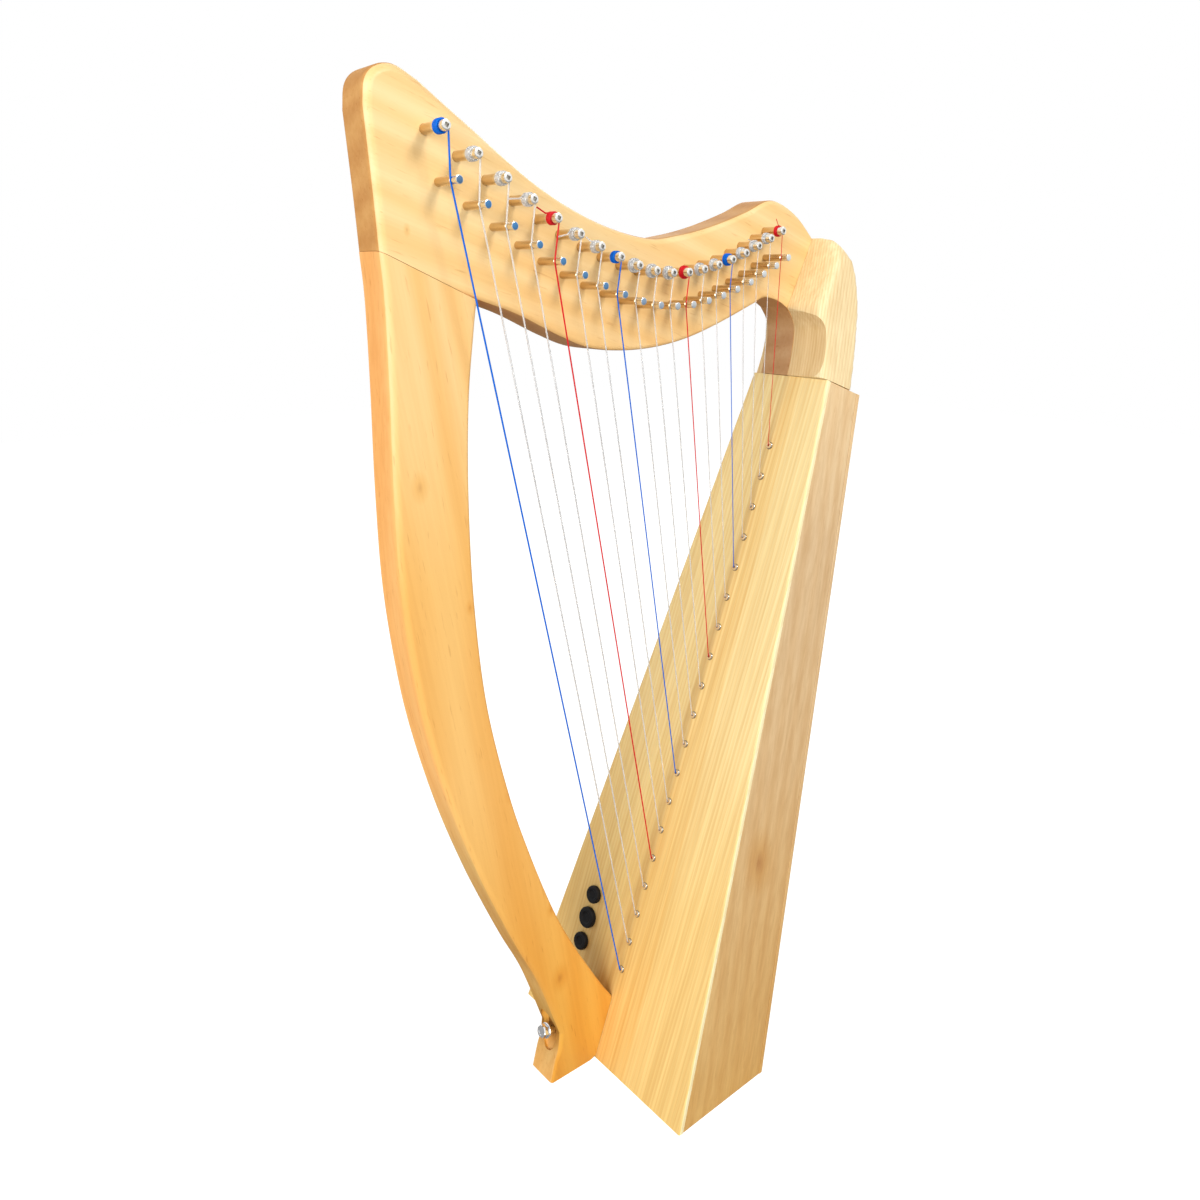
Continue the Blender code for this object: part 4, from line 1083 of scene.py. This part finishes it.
# Strings
stringLook = {
    "bass": 0.0012, "treble": 0.0005, "knot": 0.002, "knotHeight": 0.0026,
    "knotShape": [(0.85, 0.7), (0.5, 1), (0.15, 0.7)],   # shares of its height and radius
    "bend": 0.0008, "bendRise": 0.0003, "bendSteps": 6, "bridgeSteps": 4,
    "woundWidths": (0.0048, 0.0028), "fewestTurns": 4, "pointsEachTurn": 20, "turnGap": 0.00006,
    "tailBend": 30, "nesting": 0.94, "thinString": 0.0009,
    # A tail leaves the winding and other ends are tucked into it: shares of the bend, the
    # rise in string radii, and how much of the tail's length is added.
    "leave": [(0.5, 1.2, 0), (0.85, 3.2, 0), (1.0, 3.2, 1)],
    "tuck": [(0.5, -0.3, 0), (1.0, -0.9, 0)],
    "tails": {4: (180, 0.008), 5: (150, 0.007), 6: (188, 0.007), 7: (140, 0.004),
              17: (150, 0.0045), 19: (115, 0.0048)},
    "octave": [(blueNylon, "blue_nylon"), *[(clearNylon, "clear_nylon")] * 3,
               (redNylon, "red_nylon"), *[(clearNylon, "clear_nylon")] * 2],
}


def layTube(name, line, sides=2):
    deselectAll()
    bpy.ops.curve.primitive_nurbs_path_add()
    tube = bpy.context.object
    tube.name = name
    tube.location = (0, 0, 0)
    tube.data.splines.clear()
    tube.data.bevel_depth = line[0][1]
    tube.data.bevel_resolution = sides
    tube.data.use_fill_caps = True
    spline = tube.data.splines.new("POLY")
    spline.points.add(len(line) - 1)
    for point, (spot, thickness) in zip(spline.points, line):
        point.co = (*spot, 1)
        point.radius = thickness / tube.data.bevel_depth
    makeActive(tube)
    bpy.ops.object.convert(target="MESH")
    tube = bpy.context.object
    bpy.ops.object.shade_smooth_by_angle(angle=radians(50))
    return tube


def touchLeft(point, centre, radius):
    run = centre - point
    return atan2(run.z, run.x) + asin(radius / Vector((run.x, 0, run.z)).length)


def crossHeading(leftOf, leftRadius, rightOf, rightRadius):
    run = rightOf - leftOf
    return atan2(run.z, run.x) - asin((leftRadius + rightRadius) / Vector((run.x, 0, run.z)).length)


def beside(centre, radius, heading, y):
    return Vector((centre.x - radius * sin(heading), y, centre.z + radius * cos(heading)))


def onCircle(centre, radius, turn, y):
    return Vector((centre.x + radius * cos(turn), y, centre.z + radius * sin(turn)))


def knotLine(place, thin):
    top = barrelEnd + gap
    height = stringLook["knotHeight"]
    line = [(onBoard(place, top + height + 2 * thin), thin)]
    for share, width in stringLook["knotShape"]:
        line.append((onBoard(place, top + share * height), stringLook["knot"] * width))
    return line + [(onBoard(place, top), thin)]


def bendLine(place, depth, lowTouch, thin):   # out of the eyelet, then towards the bridge pin
    steps = stringLook["bendSteps"]
    corner = onBoard(place, depth)
    mouth = onBoard(place, depth + stringLook["bend"])
    after = corner + (lowTouch - corner).normalized() * stringLook["bend"]
    line = [(mouth, thin)]
    for step in range(1, steps):
        t = step / steps
        line.append((mouth * (1 - t) ** 2 + corner * 2 * t * (1 - t) + after * t * t, thin))
    return line + [(after, thin)]


def windingLine(index, tuner, thin, start, firstY):
    # The winding runs away from the tip on the pin, then back over itself.
    pitch = 2 * thin + stringLook["turnGap"]
    low = pinLook["tunerRadius"] + thin
    lowTurns = round(alongRow(*stringLook["woundWidths"], index) / pitch)
    lowTurns = max(stringLook["fewestTurns"], lowTurns)
    highTurns = lowTurns - 1 if 2 * thin < stringLook["thinString"] else 0
    high = low + 2 * thin * stringLook["nesting"] if highTurns else low
    angle, tail = stringLook["tails"].get(index + 1, (90, 0))
    turnBack = start + 2 * pi * lowTurns
    end = 2 * pi * (lowTurns + highTurns) + radians(angle - stringLook["tailBend"])
    count = round(stringLook["pointsEachTurn"] * (end - start) / (2 * pi))
    line = []
    for step in range(count + 1):
        turn = start + (end - start) * step / count
        climbed = min(1, max(0, (turn - turnBack) / (pi / 2)))
        if turn < turnBack:
            y = firstY + pitch * (turn - start) / (2 * pi)
        else:
            y = firstY + pitch * (lowTurns - (turn - turnBack) / (2 * pi))
        line.append((onCircle(tuner, low + (high - low) * climbed, turn, y), thin))
    for part, rise, tails in stringLook["leave"] if tail else stringLook["tuck"]:
        turn = end + radians(stringLook["tailBend"]) * part
        line.append((onCircle(tuner, high + (rise * thin + tails * tail), turn, y), thin))
    return line


for index, (place, bridge, tuner) in enumerate(zip(eyeletPlaces, bridgePlaces, pinPlaces)):
    number = "%02d" % (index + 1)
    nylon, slotName = stringLook["octave"][index % len(stringLook["octave"])]
    thin = alongRow(stringLook["bass"], stringLook["treble"], index) / 2
    bridgeRadius = pinLook["grooveRadius"] + thin
    wound = pinLook["tunerRadius"] + thin
    bendDepth = -eyeletLook["height"] - stringLook["bendRise"]
    rising = touchLeft(onBoard(place, bendDepth), bridge, bridgeRadius)
    leaving = crossHeading(bridge, bridgeRadius, tuner, wound)
    lowTouch = beside(bridge, bridgeRadius, rising, grooveY)
    run = knotLine(place, thin) + bendLine(place, bendDepth, lowTouch, thin)
    steps = stringLook["bridgeSteps"]
    for step in range(steps + 1):
        heading = rising + (leaving - rising) * step / steps
        run.append((beside(bridge, bridgeRadius, heading, grooveY), thin))
    firstY = tunerTipY(number) + pinLook["windingSetback"] + thin
    run.append((beside(tuner, -wound, leaving, firstY), thin))
    piece = layTube("string_run_" + number, run)
    settle(piece, "root", slotName, nylon, "string_" + number)
    winding = windingLine(index, tuner, thin, leaving - pi / 2, firstY)
    piece = layTube("string_winding_" + number, winding)
    settle(piece, "tuning_pin_" + number, slotName, nylon)
print("strings are tuned")

# Foot bolt
bolt = turnPiece("foot_bolt_steel", boltLook["section"], boltStart, intoBox, sides=48)
sector = 2 * pi / boltLook["flats"]
for vert in bolt.data.vertices:   # the turned head is pressed in to flats
    along = (vert.co - boltStart).dot(intoBox)
    offset = vert.co - boltStart - intoBox * along
    if along < boltLook["height"] + boltLook["slack"] and offset.length > boltLook["apothem"]:
        turn = atan2(offset.dot(nearWay), offset.dot(upBoard))
        flat = boltLook["apothem"] / cos((turn + sector / 2) % sector - sector / 2)
        if flat < offset.length:
            vert.co = boltStart + intoBox * along + offset * (flat / offset.length)
smoothPiece(bolt, angle=30)
settle(bolt, "root", "steel", boltChrome, "foot_bolt")
washer = turnPiece("foot_washer_steel", boltLook["washer"], boltStart, intoBox, sides=40)
smoothPiece(washer)
settle(washer, "root", "steel", boltChrome, "foot_washer")

# Control knobs
knobLook = {
    "side": 0.054, "places": (0.0831, 0.1062, 0.1284), "radii": (0.008, 0.0095, 0.008),
    "height": 0.0048, "lift": 0.0005, "spindle": 0.003, "spindleDepth": 0.012,
    "foot": [(-0.0006, 0), (0, 0.0005)],
    "brim": [(0, -0.0012), (-0.0004, -0.0004), (-0.0012, 0)],
    "dish": [(0.62, 0), (0.54, -0.0004), (0.45, -0.0012), (0, -0.0014)],   # shares of the radius
    "ribs": 36, "ribDepth": 0.00025, "ribSlack": 0.0001,
}
height = knobLook["height"]
spindle = knobLook["spindle"]
depth = knobLook["spindleDepth"]
lift = knobLook["lift"]
for index, (place, radius) in enumerate(zip(knobLook["places"], knobLook["radii"])):
    knobProfile = [(0, -depth), (spindle, -depth), (spindle, lift),
                   *offsetFrom(radius, lift, knobLook["foot"]),
                   *offsetFrom(radius, height, knobLook["brim"]),
                   *[(radius * share, height + drop) for share, drop in knobLook["dish"]]]
    base = onBoard(place, 0, knobLook["side"])
    name = "control_knob_%d" % (index + 1)
    knob = turnPiece(name + "_cap", knobProfile, base, -intoBox, 2 * knobLook["ribs"])
    for vert in knob.data.vertices:
        offset = vert.co - base
        across = offset - intoBox * offset.dot(intoBox)
        if across.length > radius - knobLook["ribSlack"]:
            turn = atan2(across.dot(nearWay), across.dot(upBoard))
            if round(turn * knobLook["ribs"] / pi) % 2:
                vert.co -= across.normalized() * knobLook["ribDepth"]
    smoothPiece(knob, angle=25)
    settle(knob, name, "black_plastic", blackCap, name)
print("foot bolt and knobs are fitted")
